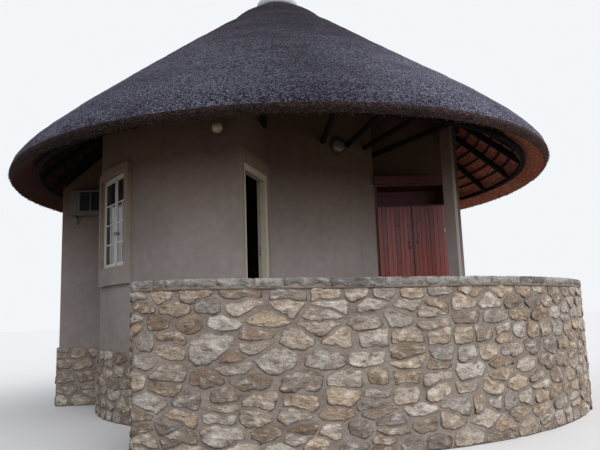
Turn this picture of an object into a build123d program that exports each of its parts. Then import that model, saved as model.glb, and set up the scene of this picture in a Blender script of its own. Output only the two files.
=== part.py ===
import os
from math import acos, cos, degrees, radians, sin, tan

from build123d import *

# A round thatched hut with a raised open porch behind a curved rubble wall.
# Millimetres. The roof's axis is the Z axis, the ground at the lowest point is z = 0,
# and the porch faces -Y. A bearing is an angle round the axis, 0 at -Y and 90 at +X.

# Levels
plaster_base = 970.0
porch_level = 1135.0
floor_level = 1285.0
rubble_top = 1700.0
coping_height = 70.0

# Round wall
wall_radius = 3100.0
wall_thickness = 230.0
plinth_projection = 30.0
seat_gap = 0.3

# Roof
pitch = 40.4
eave_radius = 4500.0
eave_height = 3610.0
thatch_thickness = 177.0
thatch_swell = ((4200.0, 80.0), (3600.0, 125.0), (2800.0, 120.0), (2000.0, 90.0), (1200.0, 50.0))
thatch_top_radius = 150.0
thatch_inner_radius = 300.0
ridge_cap_radius = 410.0
ridge_cap_edge = 60.0
ridge_cap_profile = ((0.82, 90.0), (0.5, 105.0), (0.2, 95.0), (0.0, 105.0))
porch_rafter_bearings = (-2.4, 10.1, 22.2, 33.2, 44.8, 57.5, 70.5, 86.0, 101.3)
rear_rafter_count = 20
rafter_sides = 12
rafter_diameter = 110.0
rafter_foot_radius = 3990.0
crown_ring_radius = 980.0
crown_ring_width = 90.0
crown_ring_height = 150.0
eave_ring_width = 90.0
eave_ring_height = 60.0

# Doorway wall, which turns in from the corner of the round wall
corner_bearing = -11.0
door_wall_heading = 17.8
door_wall_length = 1140.0
porch_wall_thickness = 130.0
door_offset = 122.0
leaf_width = 813.0
leaf_height = 2032.0
leaf_thickness = 40.0
leaf_clearance = 5.0
frame_width = 70.0
door_surround_top = 3570.0
door_surround_projection = 20.0
door_rest_angle = 68.0
door_spare_angle = 4.0
hinge_offset = 7.0
hinge_inset = 200.0
hinge_length = 100.0
hinge_plate = 4.0
door_stop = 15.0
rebate_clearance = 5.0
sweep_margin = 40.0
sweep_spare = 4.0
sweep_heel = 12.0
handle_height = 1020.0
handle_setback = 60.0
handle_stem = 16.0
handle_projection = 30.0
lever_length = 110.0
lever_thickness = 14.0
lever_overhang = 8.0

# Porch back wall and the cooking recess beside it
back_wall_heading = 31.2
back_wall_length = 2030.0
recess_back_y = -400.0

# Windows
window_bearing = -55.5
rear_window_bearing = 125.0
window_width = 1000.0
window_sill = 2150.0
window_head = 3520.0
window_frame_width = 50.0
window_frame_depth = 70.0
window_setback = 30.0
surround_band = 100.0
surround_head = 100.0
surround_foot = 260.0
surround_projection = 60.0
glass_thickness = 6.0

# Bathroom bay that steps out of the round wall on the left
bay_radius = 3910.0
bay_start = -90.0
bay_end = -150.0

# Porch
rubble_radius = 4700.0
rubble_thickness = 350.0
rubble_start = -20.6
rubble_middle = 38.0
rubble_end = 98.0
pillar_width = 155.0
pillar_bearing = 57.4
beam_width = 150.0
beam_height = 200.0
tie_pole_diameter = 90.0
tie_pole_places = (
    (0, 1.0, 4150.0),
    (1, 2.5, 4080.0),
    (2, 10.6, 4080.0),
    (3, 19.5, 4080.0),
    (4, 28.0, 4080.0),
)
tie_pole_setback = 30.0

# Cupboard in the cooking recess
cupboard_front_y = -900.0
cupboard_left_x = 1530.0
cupboard_door_width = 560.0
knob_inset = 66.0
knob_radius = 16.0
knob_length = 28.0
cupboard_stile_right = 60.0
cupboard_bottom = 1890.0
cupboard_top = 3080.0
cupboard_board = 20.0
cupboard_lip = 10.0
cupboard_rail = 30.0
cupboard_gap = 6.0
cupboard_door_thickness = 22.0
cupboard_hinge_length = 60.0
cupboard_hinge_low = 160.0
cupboard_hinge_high = 220.0
cupboard_plate_width = 10.0
cupboard_plate_offset = 6.0
counter_thickness = 40.0
counter_overhang = 30.0
shelf_bottom = 3470.0
shelf_thickness = 130.0
shelf_overhang = 60.0

# Fittings
cooler_width = 560.0
cooler_height = 400.0
cooler_projection = 190.0
cooler_centre_x = -(wall_radius + 330.0)
cooler_bottom = 3270.0
cooler_shelf_thickness = 40.0
cooler_shelf_side = 30.0
cooler_shelf_front = 20.0
lamp_diameter = 290.0
lamp_depth = 45.0
lamp_rim = 24.0
lamp_taper = 25.0
lamp_along = 1305.0
lamp_height = 4040.0
globe_diameter = 145.0
globe_base_radius = 32.0
globe_base_depth = 55.0
globe_bearing = -15.5
globe_height = 3800.0
globe_steps = 8

pitch_rise = tan(radians(pitch))
underside_radius = eave_radius - thatch_thickness * sin(radians(pitch))
underside_height = eave_height - thatch_thickness * cos(radians(pitch))


def underside(radius):
    """Height of the thatch's underside at a radius."""
    return underside_height + (underside_radius - radius) * pitch_rise


def thatch_top_line(radius):
    """Height of the thatch's outer cone at a radius, before its swell."""
    return eave_height + (eave_radius - radius) * pitch_rise


def rafter_axis(radius):
    """Height of a rafter's axis at a radius."""
    return underside(radius) - (rafter_diameter / 2 + seat_gap) / cos(radians(pitch))


def rafter_foot(radius):
    """Height of the lowest line of the rafters at a radius."""
    return rafter_axis(radius) - (rafter_diameter / 2 + seat_gap) / cos(radians(pitch))


def place(radius, bearing):
    """Point in plan at a radius and a bearing."""
    return Vector(radius * sin(radians(bearing)), -radius * cos(radians(bearing)))


def heading(angle):
    """Unit vector in plan, 0 along +Y, turning towards +X."""
    return Vector(sin(radians(angle)), cos(radians(angle)))


def save(piece, name):
    piece.part.label = name
    export_step(piece.part, f"parts/{name}.step")


os.makedirs("parts", exist_ok=True)


# Space above the rafters' feet, which trims the head of every wall
with BuildPart() as roof_space:
    with BuildSketch(Plane.XZ):
        with BuildLine():
            Polyline(
                (0, rafter_foot(0)),
                (eave_radius, rafter_foot(eave_radius)),
                (eave_radius, 2 * thatch_top_line(0)),
                (0, 2 * thatch_top_line(0)),
                close=True,
            )
        make_face()
    revolve(axis=Axis.Z)
wall_head = rafter_foot(0)


def arc_profile(inner, outer, start, end):
    """Ring sector drawn in the current sketch."""
    middle = (start + end) / 2
    with BuildLine() as outline:
        ThreePointArc(place(outer, start), place(outer, middle), place(outer, end))
        Line(place(outer, end), place(inner, end))
        ThreePointArc(place(inner, end), place(inner, middle), place(inner, start))
        Line(place(inner, start), place(outer, start))
    make_face(outline.edges())


def curved_wall(inner, outer, start, end, bottom, top):
    """Ring sector wall; a wall that reaches the roof is trimmed to the rafters' feet."""
    with BuildPart() as wall:
        with BuildSketch(Plane.XY.offset(bottom)):
            arc_profile(inner, outer, start, end)
        extrude(amount=top - bottom)
        if top == wall_head:
            add(roof_space.part, mode=Mode.SUBTRACT)
    return wall


def straight_wall(points, bottom, top):
    """Wall on a plan outline, trimmed like a curved one."""
    with BuildPart() as wall:
        with BuildSketch(Plane.XY.offset(bottom)):
            with BuildLine():
                Polyline(*points, close=True)
            make_face()
        extrude(amount=top - bottom)
        if top == wall_head:
            add(roof_space.part, mode=Mode.SUBTRACT)
    return wall


# Plan points of the doorway wall and of the porch back wall
inner_radius = wall_radius - wall_thickness
corner = place(wall_radius, corner_bearing)
door_way = heading(door_wall_heading)
door_out = Vector(door_way.Y, -door_way.X)
door_wall_end = corner + door_way * door_wall_length
back_way = heading(90 - back_wall_heading)
back_out = Vector(back_way.Y, -back_way.X)
recess_corner = door_wall_end + back_way * back_wall_length
recess_back = Vector(recess_corner.X, recess_back_y)
side_out = Vector(1, 0)
recess_out = Vector(0, -1)


def mitre(point, first, second):
    """Inner corner of two porch walls that meet at a point, from their outward normals."""
    return point - (first + second) * (porch_wall_thickness / (1 + first.dot(second)))


door_wall_inner = mitre(door_wall_end, door_out, back_out)
recess_corner_inner = mitre(recess_corner, back_out, side_out)
recess_back_inner = mitre(recess_back, side_out, recess_out)

# Doorway
frame_outer_width = leaf_width + 2 * (frame_width + leaf_clearance)
frame_outer_height = leaf_height + frame_width + 2 * leaf_clearance
frame_near = corner + door_way * door_offset
frame_far = frame_near + door_way * frame_outer_width
frame_top = floor_level + frame_outer_height
hinge = frame_near + door_way * (frame_width + leaf_clearance) - door_out * porch_wall_thickness

far = 2 * eave_radius


def upright(origin, along):
    """Plane at floor level with X along a plan direction."""
    return Plane(origin=(origin.X, origin.Y, 0), x_dir=(along.X, along.Y, 0), z_dir=(0, 0, 1))


# Everything outside the line of the doorway wall
with BuildPart() as porch_side:
    with BuildSketch(upright(corner, door_way)):
        Rectangle(far, far, align=(Align.CENTER, Align.MAX))
    extrude(amount=wall_head)

# The band that the doorway wall and its frame take out of the round wall
with BuildPart() as door_band:
    with BuildSketch(upright(frame_near, door_way).offset(floor_level)):
        Rectangle(far, porch_wall_thickness, align=(Align.MIN, Align.MIN))
    extrude(amount=wall_head)

# Room that the leaf sweeps inside the round wall
sweep_reach = leaf_width + sweep_margin
sweep_angle = door_rest_angle + door_spare_angle + sweep_spare
with BuildPart() as leaf_sweep:
    with BuildSketch(upright(hinge, door_way).offset(floor_level)):
        with BuildLine():
            tip = Vector(sweep_reach, 0)
            Line((0, -sweep_heel), tip)
            ThreePointArc(tip, tip.rotate(Axis.Z, sweep_angle / 2), tip.rotate(Axis.Z, sweep_angle))
            Line(tip.rotate(Axis.Z, sweep_angle), (-sweep_heel, 0))
            Line((-sweep_heel, 0), (0, -sweep_heel))
        make_face()
    extrude(amount=frame_outer_height)

# Everything in front of the recess's back wall, on the right of the axis
with BuildPart() as recess_side:
    with BuildSketch(Plane.XY):
        with Locations((0, recess_back_y)):
            Rectangle(far, far, align=(Align.MIN, Align.MAX))
    extrude(amount=wall_head)

# The ring of the round wall, which the porch walls stop against
with BuildPart() as wall_ring:
    with BuildSketch(Plane.XY):
        Circle(wall_radius + 1500)
        Circle(inner_radius, mode=Mode.SUBTRACT)
    extrude(amount=wall_head)

# The porch's share of the plan, open to the front and right
porch_outline = [
    place(far, corner_bearing),
    corner,
    door_wall_end,
    recess_corner,
    recess_back,
    Vector(far, recess_back_y),
    Vector(far, -far),
]
with BuildPart() as porch_area:
    with BuildSketch(Plane.XY):
        with BuildLine():
            Polyline(*porch_outline, close=True)
        make_face()
    extrude(amount=wall_head)

# Round wall, from the doorway corner round by the left to the recess
window_reach = degrees(window_width / 2 + surround_band) / wall_radius + 0.9
front_wall_end = window_bearing + window_reach
with BuildPart() as front_wall:
    with BuildSketch(Plane.XY.offset(plaster_base)):
        arc_profile(inner_radius, wall_radius, front_wall_end, corner_bearing + 3)
    extrude(amount=wall_head - plaster_base)
    add(roof_space.part, mode=Mode.SUBTRACT)
    add(porch_side.part, mode=Mode.SUBTRACT)
    add(door_band.part, mode=Mode.SUBTRACT)
    add(leaf_sweep.part, mode=Mode.SUBTRACT)
save(front_wall, "front_wall")

left_wall = curved_wall(
    inner_radius, wall_radius, bay_start, window_bearing - window_reach, plaster_base, wall_head
)
save(left_wall, "left_wall")

rear_wall = curved_wall(
    inner_radius, wall_radius, rear_window_bearing + window_reach, 360 + bay_end, plaster_base, wall_head
)
save(rear_wall, "rear_wall")

right_wall_bearing = degrees(acos(-recess_back_y / wall_radius)) - 3
with BuildPart() as right_wall:
    with BuildSketch(Plane.XY.offset(plaster_base)):
        arc_profile(inner_radius, wall_radius, right_wall_bearing, rear_window_bearing - window_reach)
    extrude(amount=wall_head - plaster_base)
    add(roof_space.part, mode=Mode.SUBTRACT)
    add(recess_side.part, mode=Mode.SUBTRACT)
save(right_wall, "right_wall")


def window_plane(bearing, radius):
    """Upright plane square to a bearing, X to the right seen from outside, Y up."""
    origin = place(radius, bearing)
    across = place(1, bearing + 90)
    outward = place(1, bearing)
    return Plane(
        origin=(origin.X, origin.Y, 0), x_dir=(across.X, across.Y, 0), z_dir=(outward.X, outward.Y, 0)
    )


window_height = window_head - window_sill
window_middle = (window_head + window_sill) / 2
light_width = (window_width - 3 * window_frame_width) / 2
light_height = window_height - 2 * window_frame_width


def window(bearing, place_name):
    """Wall, plastered surround, two-light frame and glass of one window."""
    opening_plane = window_plane(bearing, inner_radius - 200)
    start = bearing - window_reach
    end = bearing + window_reach
    with BuildPart() as opening:
        with BuildSketch(opening_plane):
            with Locations((0, window_middle)):
                Rectangle(window_width, window_height)
        extrude(amount=wall_thickness + 500)

    with BuildPart() as wall:
        with BuildSketch(Plane.XY.offset(plaster_base)):
            arc_profile(inner_radius, wall_radius, start, end)
        extrude(amount=wall_head - plaster_base)
        add(roof_space.part, mode=Mode.SUBTRACT)
        add(opening.part, mode=Mode.SUBTRACT)
    save(wall, place_name + "_window_wall")

    reach = degrees((window_width / 2 + surround_band) / (wall_radius + surround_projection))
    with BuildPart() as surround:
        with BuildSketch(Plane.XY.offset(window_sill - surround_foot)):
            arc_profile(wall_radius, wall_radius + surround_projection, bearing - reach, bearing + reach)
        extrude(amount=window_height + surround_head + surround_foot)
        add(opening.part, mode=Mode.SUBTRACT)
    save(surround, place_name + "_window_surround")

    frame_plane = window_plane(bearing, wall_radius - window_setback - window_frame_depth)
    with BuildPart() as frame:
        with BuildSketch(frame_plane):
            with Locations((0, window_middle)):
                Rectangle(window_width, window_height)
                with GridLocations(light_width + window_frame_width, 0, 2, 1):
                    Rectangle(light_width, light_height, mode=Mode.SUBTRACT)
        extrude(amount=window_frame_depth)
    save(frame, place_name + "_window_frame")

    glass_offset = (window_frame_depth - glass_thickness) / 2
    with BuildPart() as glass:
        with BuildSketch(frame_plane.offset(glass_offset)):
            with Locations((0, window_middle)):
                with GridLocations(light_width + window_frame_width, 0, 2, 1):
                    Rectangle(light_width, light_height)
        extrude(amount=glass_thickness)
    save(glass, place_name + "_window_glass")


window(window_bearing, "front")
window(rear_window_bearing, "rear")

# Bathroom bay
bay_inner_radius = bay_radius - wall_thickness
bay_side_wall = curved_wall(bay_inner_radius, bay_radius, bay_end, bay_start, plaster_base, wall_head)
save(bay_side_wall, "bay_side_wall")


def bay_end_wall(bearing, side):
    """Straight wall of the bay along a bearing, its thickness to one side of it."""
    out = place(1, bearing)
    across = place(1, bearing + 90) * side
    inner = out * inner_radius
    outer = out * bay_radius
    with BuildPart() as wall:
        with BuildSketch(Plane.XY.offset(plaster_base)):
            with BuildLine():
                Polyline(
                    inner, outer, outer + across * wall_thickness, inner + across * wall_thickness, close=True
                )
            make_face()
        extrude(amount=wall_head - plaster_base)
        add(roof_space.part, mode=Mode.SUBTRACT)
        add(bay_ring.part, mode=Mode.SUBTRACT)
    return wall


with BuildPart() as bay_ring:
    with BuildSketch(Plane.XY):
        Circle(bay_radius + 500)
        Circle(bay_inner_radius, mode=Mode.SUBTRACT)
    extrude(amount=wall_head)

bay_front_wall = bay_end_wall(bay_start, -1)
save(bay_front_wall, "bay_front_wall")
bay_rear_wall = bay_end_wall(bay_end, 1)
save(bay_rear_wall, "bay_rear_wall")

# Porch walls
door_wall = straight_wall(
    [frame_far, door_wall_end, door_wall_inner, frame_far - door_out * porch_wall_thickness],
    floor_level,
    wall_head,
)
save(door_wall, "door_wall")

door_lintel = straight_wall(
    [
        frame_near,
        frame_far,
        frame_far - door_out * porch_wall_thickness,
        frame_near - door_out * porch_wall_thickness,
    ],
    frame_top,
    wall_head,
)
save(door_lintel, "door_lintel")

porch_back_wall = straight_wall(
    [door_wall_end, recess_corner, recess_corner_inner, door_wall_inner], floor_level, wall_head
)
save(porch_back_wall, "porch_back_wall")

with BuildPart() as recess_wall:
    with BuildSketch(Plane.XY.offset(floor_level)):
        with BuildLine():
            Polyline(
                recess_corner,
                recess_back,
                (wall_radius, recess_back_y),
                (wall_radius, recess_back_y + porch_wall_thickness),
                recess_back_inner,
                recess_corner_inner,
                close=True,
            )
        make_face()
    extrude(amount=wall_head - floor_level)
    add(roof_space.part, mode=Mode.SUBTRACT)
    add(wall_ring.part, mode=Mode.SUBTRACT)
save(recess_wall, "recess_wall")

# Base courses and floors
with BuildPart() as foundation:
    with BuildSketch(Plane.XY):
        Circle(wall_radius + plinth_projection)
        arc_profile(inner_radius, bay_radius + plinth_projection, bay_end - 0.45, bay_start + 0.45)
    extrude(amount=plaster_base)
save(foundation, "foundation")

with BuildPart() as floor_slab:
    with BuildSketch(Plane.XY.offset(plaster_base)):
        Circle(inner_radius)
        arc_profile(inner_radius - 10, bay_inner_radius, bay_end, bay_start)
    extrude(amount=floor_level - plaster_base)
    add(porch_area.part, mode=Mode.SUBTRACT)
    add(bay_front_wall.part, mode=Mode.SUBTRACT)
    add(bay_rear_wall.part, mode=Mode.SUBTRACT)
save(floor_slab, "floor_slab")

rubble_inner = rubble_radius - rubble_thickness
porch_base = curved_wall(
    wall_radius + plinth_projection, rubble_inner, rubble_start, rubble_end, 0, plaster_base
)
save(porch_base, "porch_base")

with BuildPart() as porch_floor:
    with BuildSketch(Plane.XY.offset(plaster_base)):
        Circle(wall_radius + 1)
    extrude(amount=porch_level - plaster_base)
    add(porch_area.part, mode=Mode.INTERSECT)
    with BuildSketch(Plane.XY.offset(plaster_base)):
        arc_profile(wall_radius, rubble_inner, rubble_start, rubble_end)
    extrude(amount=porch_level - plaster_base)
save(porch_floor, "porch_floor")

# Rubble wall round the porch, with its coping
rubble_spans = {"left": (rubble_start, rubble_middle), "right": (rubble_middle, rubble_end)}
for side, (start, end) in rubble_spans.items():
    rubble = curved_wall(rubble_inner, rubble_radius, start, end, 0, rubble_top)
    save(rubble, f"rubble_wall_{side}")
    coping = curved_wall(
        rubble_inner, rubble_radius, start, end, rubble_top, rubble_top + coping_height
    )
    save(coping, f"coping_{side}")

return_out = place(1, rubble_end)
return_across = place(1, rubble_end + 90)
for name, bottom, top in (
    ("rubble_wall_return", 0, rubble_top),
    ("coping_return", rubble_top, rubble_top + coping_height),
):
    with BuildPart() as return_wall:
        with BuildSketch(Plane.XY.offset(bottom)):
            with BuildLine():
                Polyline(
                    return_out * (wall_radius - 100),
                    return_out * rubble_radius,
                    return_out * rubble_radius + return_across * rubble_thickness,
                    return_out * (wall_radius - 100) + return_across * rubble_thickness,
                    close=True,
                )
            make_face()
            Circle(wall_radius + plinth_projection, mode=Mode.SUBTRACT)
        extrude(amount=top - bottom)
    save(return_wall, name)

# Posts and beams of the porch
rear_rafter_step = (360 + porch_rafter_bearings[0] - porch_rafter_bearings[-1]) / (rear_rafter_count + 1)
rear_rafter_bearings = [
    porch_rafter_bearings[-1] + rear_rafter_step * (i + 1) for i in range(rear_rafter_count)
]
beam_outer = wall_radius - 20
beam_inner = beam_outer - beam_width
beam_top = rafter_foot(beam_outer)
beam_bearings = [
    rear_rafter_bearings[-1] - 360,
    *(bearing for bearing in porch_rafter_bearings if bearing < right_wall_bearing),
    right_wall_bearing + 6,
]
with BuildPart() as porch_beam:
    with BuildSketch(Plane.XY.offset(beam_top - beam_height)):
        with BuildLine():
            outer_line = [place(beam_outer, bearing) for bearing in beam_bearings]
            inner_line = [place(beam_inner, bearing) for bearing in reversed(beam_bearings)]
            Polyline(*outer_line, *inner_line, close=True)
        make_face()
    extrude(amount=beam_height)
    add(porch_area.part, mode=Mode.INTERSECT)
save(porch_beam, "porch_beam")

pillar_centre = place(wall_radius - pillar_width / 2, pillar_bearing)
with BuildPart() as pillar:
    with BuildSketch(upright(pillar_centre, place(1, pillar_bearing)).offset(porch_level)):
        Rectangle(pillar_width, pillar_width)
    extrude(amount=beam_top - beam_height - porch_level)
save(pillar, "pillar")

# Roof poles, which run down the cone and stop against the crown ring


def rafter_plane(bearing):
    """Plane at a rafter's foot, its normal up along the rafter."""
    foot = place(rafter_foot_radius, bearing)
    rise = place(-cos(radians(pitch)), bearing)
    across = place(1, bearing + 90)
    return Plane(
        origin=(foot.X, foot.Y, rafter_axis(rafter_foot_radius)),
        x_dir=(across.X, across.Y, 0),
        z_dir=(rise.X, rise.Y, sin(radians(pitch))),
    )


rafter_run = (rafter_foot_radius - crown_ring_radius + 60) / cos(radians(pitch))
with BuildPart() as crown_void:
    Cylinder(crown_ring_radius, 3 * eave_radius)

rafter_groups = {
    "porch": porch_rafter_bearings,
    "rear": rear_rafter_bearings[: rear_rafter_count // 2],
    "left": rear_rafter_bearings[rear_rafter_count // 2 :],
}
for group, bearings in rafter_groups.items():
    with BuildPart() as rafters:
        for bearing in bearings:
            with BuildSketch(rafter_plane(bearing)):
                RegularPolygon(rafter_diameter / 2, rafter_sides)
            extrude(amount=rafter_run)
        add(crown_void.part, mode=Mode.SUBTRACT)
    save(rafters, f"rafters_{group}")

crown_ring_top = underside(crown_ring_radius) - seat_gap
with BuildPart() as crown_ring:
    with BuildSketch(Plane.XY.offset(crown_ring_top - crown_ring_height)):
        Circle(crown_ring_radius)
        Circle(crown_ring_radius - crown_ring_width, mode=Mode.SUBTRACT)
    extrude(amount=crown_ring_height)
save(crown_ring, "crown_ring")

# Ring of laths that ties the rafters' feet
eave_ring_inner = rafter_foot_radius + rafter_diameter / 2 * sin(radians(pitch)) + seat_gap
eave_ring_top = underside(eave_ring_inner + eave_ring_width) - seat_gap
with BuildPart() as eave_ring:
    with BuildSketch(Plane.XY.offset(eave_ring_top - eave_ring_height)):
        Circle(eave_ring_inner + eave_ring_width)
        Circle(eave_ring_inner, mode=Mode.SUBTRACT)
    extrude(amount=eave_ring_height)
save(eave_ring, "eave_ring")

# Level poles that tie the porch rafters back to the porch walls, each one beside its rafter
with BuildPart() as tie_poles:
    for i, pole_heading, level in tie_pole_places:
        bearing = porch_rafter_bearings[i]
        turn = radians(bearing - pole_heading)
        aside = rafter_diameter / 2 + seat_gap + tie_pole_diameter / 2 * cos(turn)
        reach = (level + tie_pole_diameter / 2 - underside_height) / pitch_rise
        tip_radius = underside_radius - reach - tie_pole_setback
        side = 1 if bearing > pole_heading else -1
        tip = place(tip_radius, bearing) + place(side, bearing + 90) * aside
        inward = place(-1, pole_heading)
        tie_plane = Plane(origin=(tip.X, tip.Y, level), z_dir=(inward.X, inward.Y, 0))
        with BuildSketch(tie_plane):
            RegularPolygon(tie_pole_diameter / 2, rafter_sides)
        extrude(amount=tip_radius)
    add(porch_area.part, mode=Mode.INTERSECT)
save(tie_poles, "tie_poles")

# Thatch, a cone that swells a little between its eave and its top, and the mortar cap over its point
thatch_top = thatch_top_line(thatch_top_radius)
with BuildPart() as thatch_roof:
    with BuildSketch(Plane.XZ):
        with BuildLine():
            Polyline(
                (underside_radius, underside_height),
                (eave_radius, eave_height),
                *((radius, thatch_top_line(radius) + swell) for radius, swell in thatch_swell),
                (ridge_cap_radius, thatch_top_line(ridge_cap_radius)),
                (thatch_top_radius, thatch_top),
                (0, thatch_top),
                (0, underside(thatch_inner_radius)),
                (thatch_inner_radius, underside(thatch_inner_radius)),
                close=True,
            )
        make_face()
    revolve(axis=Axis.Z)
save(thatch_roof, "thatch_roof")

cap_rim = thatch_top_line(ridge_cap_radius)


def cap_seat(share):
    """Height of the thatch under the ridge cap at a share of its radius."""
    return min(thatch_top, thatch_top_line(ridge_cap_radius * share))


with BuildPart() as ridge_cap:
    with BuildSketch(Plane.XZ):
        with BuildLine():
            Polyline(
                (0, thatch_top),
                (thatch_top_radius, thatch_top),
                (ridge_cap_radius, cap_rim),
                (ridge_cap_radius, cap_rim + ridge_cap_edge),
                *((ridge_cap_radius * share, cap_seat(share) + depth) for share, depth in ridge_cap_profile),
                close=True,
            )
        make_face()
    revolve(axis=Axis.Z)
save(ridge_cap, "ridge_cap")

# Raised plaster over the doorway wall, which the frame shows through
surround_return = door_surround_projection / door_way.cross(back_way).length
with BuildPart() as door_surround:
    with BuildSketch(Plane.XY.offset(porch_level)):
        with BuildLine():
            Polyline(
                corner,
                corner + door_out * door_surround_projection,
                door_wall_end + back_way * surround_return,
                door_wall_end,
                close=True,
            )
        make_face()
    extrude(amount=door_surround_top - porch_level)
    with BuildSketch(upright(frame_near, door_way).offset(floor_level)):
        Rectangle(frame_outer_width, 2 * door_surround_projection, align=(Align.MIN, Align.CENTER))
    extrude(amount=frame_outer_height, mode=Mode.SUBTRACT)
save(door_surround, "door_surround")

# Door frame with its rebate, and the boarded leaf standing open as the photograph shows
with BuildPart() as door_frame:
    with BuildSketch(upright(frame_near, door_way).offset(floor_level)):
        Rectangle(frame_outer_width, porch_wall_thickness, align=(Align.MIN, Align.MIN))
    extrude(amount=frame_outer_height)
    clear_start = frame_near + door_way * (frame_width + leaf_clearance + door_stop)
    with BuildSketch(upright(clear_start, door_way).offset(floor_level)):
        Rectangle(leaf_width - 2 * door_stop, porch_wall_thickness, align=(Align.MIN, Align.MIN))
    extrude(amount=leaf_height - door_stop, mode=Mode.SUBTRACT)
    rebate_depth = leaf_thickness + rebate_clearance
    rebate_corner = frame_near + door_way * frame_width - door_out * (porch_wall_thickness - rebate_depth)
    with BuildSketch(upright(rebate_corner, door_way).offset(floor_level)):
        Rectangle(leaf_width + 2 * leaf_clearance, rebate_depth, align=(Align.MIN, Align.MIN))
    extrude(amount=leaf_height + 2 * leaf_clearance, mode=Mode.SUBTRACT)
save(door_frame, "door_frame")

hinge_axis = hinge - door_way * (leaf_clearance / 2) - door_out * hinge_offset
open_way = door_way.rotate(Axis.Z, door_rest_angle)
open_out = door_out.rotate(Axis.Z, door_rest_angle)
leaf_corner = hinge_axis + open_way * (leaf_clearance / 2) + open_out * hinge_offset
leaf_plane = upright(leaf_corner, open_way).offset(floor_level + leaf_clearance)
with BuildPart() as entry_door:
    with BuildSketch(leaf_plane):
        Rectangle(leaf_width, leaf_thickness, align=(Align.MIN, Align.MAX))
    extrude(amount=leaf_height)
save(entry_door, "entry_door")

with BuildPart() as door_handle:
    for face, outward in ((0, Align.MIN), (-leaf_thickness, Align.MAX)):
        lever_offset = handle_projection if outward == Align.MIN else -handle_projection
        with BuildSketch(leaf_plane.offset(handle_height)):
            with Locations((leaf_width - handle_setback, face)):
                Rectangle(handle_stem, handle_projection, align=(Align.CENTER, outward))
            with Locations((leaf_width - handle_setback + lever_overhang, face + lever_offset)):
                Rectangle(lever_length, lever_thickness, align=(Align.MAX, outward))
        extrude(amount=handle_stem)
save(door_handle, "door_handle")

# Cooling unit through the bay's front wall, on its shelf
with BuildPart() as cooling_unit:
    with BuildSketch(Plane.XY.offset(cooler_bottom)):
        with Locations((cooler_centre_x, 0)):
            Rectangle(cooler_width, cooler_projection, align=(Align.CENTER, Align.MAX))
    extrude(amount=cooler_height)
save(cooling_unit, "cooling_unit")

with BuildPart() as cooling_shelf:
    with BuildSketch(Plane.XY.offset(cooler_bottom - cooler_shelf_thickness)):
        with Locations((cooler_centre_x, 0)):
            Rectangle(
                cooler_width + 2 * cooler_shelf_side,
                cooler_projection + cooler_shelf_front,
                align=(Align.CENTER, Align.MAX),
            )
    extrude(amount=cooler_shelf_thickness)
save(cooling_shelf, "cooling_shelf")

# Cupboard over a masonry counter
cupboard_left = recess_corner.X
cupboard_right = cupboard_left_x + 2 * cupboard_door_width + cupboard_gap + cupboard_stile_right
cupboard_width = cupboard_right - cupboard_left
cupboard_depth = recess_back_y - cupboard_front_y
counter_top_level = cupboard_bottom - cupboard_gap
with BuildPart() as counter_base:
    with BuildSketch(Plane.XY.offset(porch_level)):
        with Locations((cupboard_left, recess_back_y)):
            Rectangle(cupboard_width, cupboard_depth, align=(Align.MIN, Align.MAX))
    extrude(amount=counter_top_level - counter_thickness - porch_level)
save(counter_base, "counter_base")

with BuildPart() as counter_top:
    with BuildSketch(Plane.XY.offset(counter_top_level - counter_thickness)):
        with Locations((cupboard_left, recess_back_y)):
            Rectangle(cupboard_width + counter_overhang, cupboard_depth, align=(Align.MIN, Align.MAX))
        with Locations((cupboard_left, recess_back_y - cupboard_depth)):
            Rectangle(cupboard_width + counter_overhang, counter_overhang, align=(Align.MIN, Align.MAX))
    extrude(amount=counter_thickness)
save(counter_top, "counter_top")

cupboard_height = shelf_bottom - counter_top_level
with BuildPart() as cupboard:
    with BuildSketch(Plane.XY.offset(counter_top_level)):
        with Locations((cupboard_left, recess_back_y)):
            Rectangle(cupboard_width, cupboard_depth, align=(Align.MIN, Align.MAX))
    extrude(amount=cupboard_height)
    inner_width = 2 * cupboard_door_width + cupboard_gap
    for bottom, top in (
        (cupboard_bottom + cupboard_lip, cupboard_top - cupboard_lip),
        (cupboard_top + cupboard_rail, shelf_bottom - cupboard_rail),
    ):
        with BuildSketch(Plane.XY.offset(bottom)):
            with Locations((cupboard_left_x + cupboard_lip, recess_back_y - cupboard_board)):
                Rectangle(inner_width - 2 * cupboard_lip, cupboard_depth, align=(Align.MIN, Align.MAX))
        extrude(amount=top - bottom, mode=Mode.SUBTRACT)
save(cupboard, "cupboard")

with BuildPart() as top_shelf:
    with BuildSketch(Plane.XY.offset(shelf_bottom)):
        with Locations((cupboard_left, recess_back_y)):
            Rectangle(cupboard_width, cupboard_depth + shelf_overhang, align=(Align.MIN, Align.MAX))
    extrude(amount=shelf_thickness)
save(top_shelf, "top_shelf")

knob_height = (cupboard_bottom + cupboard_top) / 2
hinge_left_x = cupboard_left_x
hinge_right_x = cupboard_left_x + 2 * cupboard_door_width + cupboard_gap
door_back_y = cupboard_front_y - leaf_clearance
for side, hinge_x, direction in (("left", hinge_left_x, 1), ("right", hinge_right_x, -1)):
    start_x = hinge_x if direction > 0 else hinge_x - cupboard_door_width
    knob_x = hinge_x + direction * (cupboard_door_width - knob_inset)
    with BuildPart() as cupboard_door:
        with BuildSketch(Plane.XY.offset(cupboard_bottom)):
            with Locations((start_x, door_back_y)):
                Rectangle(cupboard_door_width, cupboard_door_thickness, align=(Align.MIN, Align.MAX))
        extrude(amount=cupboard_top - cupboard_bottom)
        with BuildSketch(Plane.XZ.offset(cupboard_door_thickness - door_back_y)):
            with Locations((knob_x, knob_height)):
                Circle(knob_radius)
        extrude(amount=knob_length)
    save(cupboard_door, f"cupboard_door_{side}")

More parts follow.
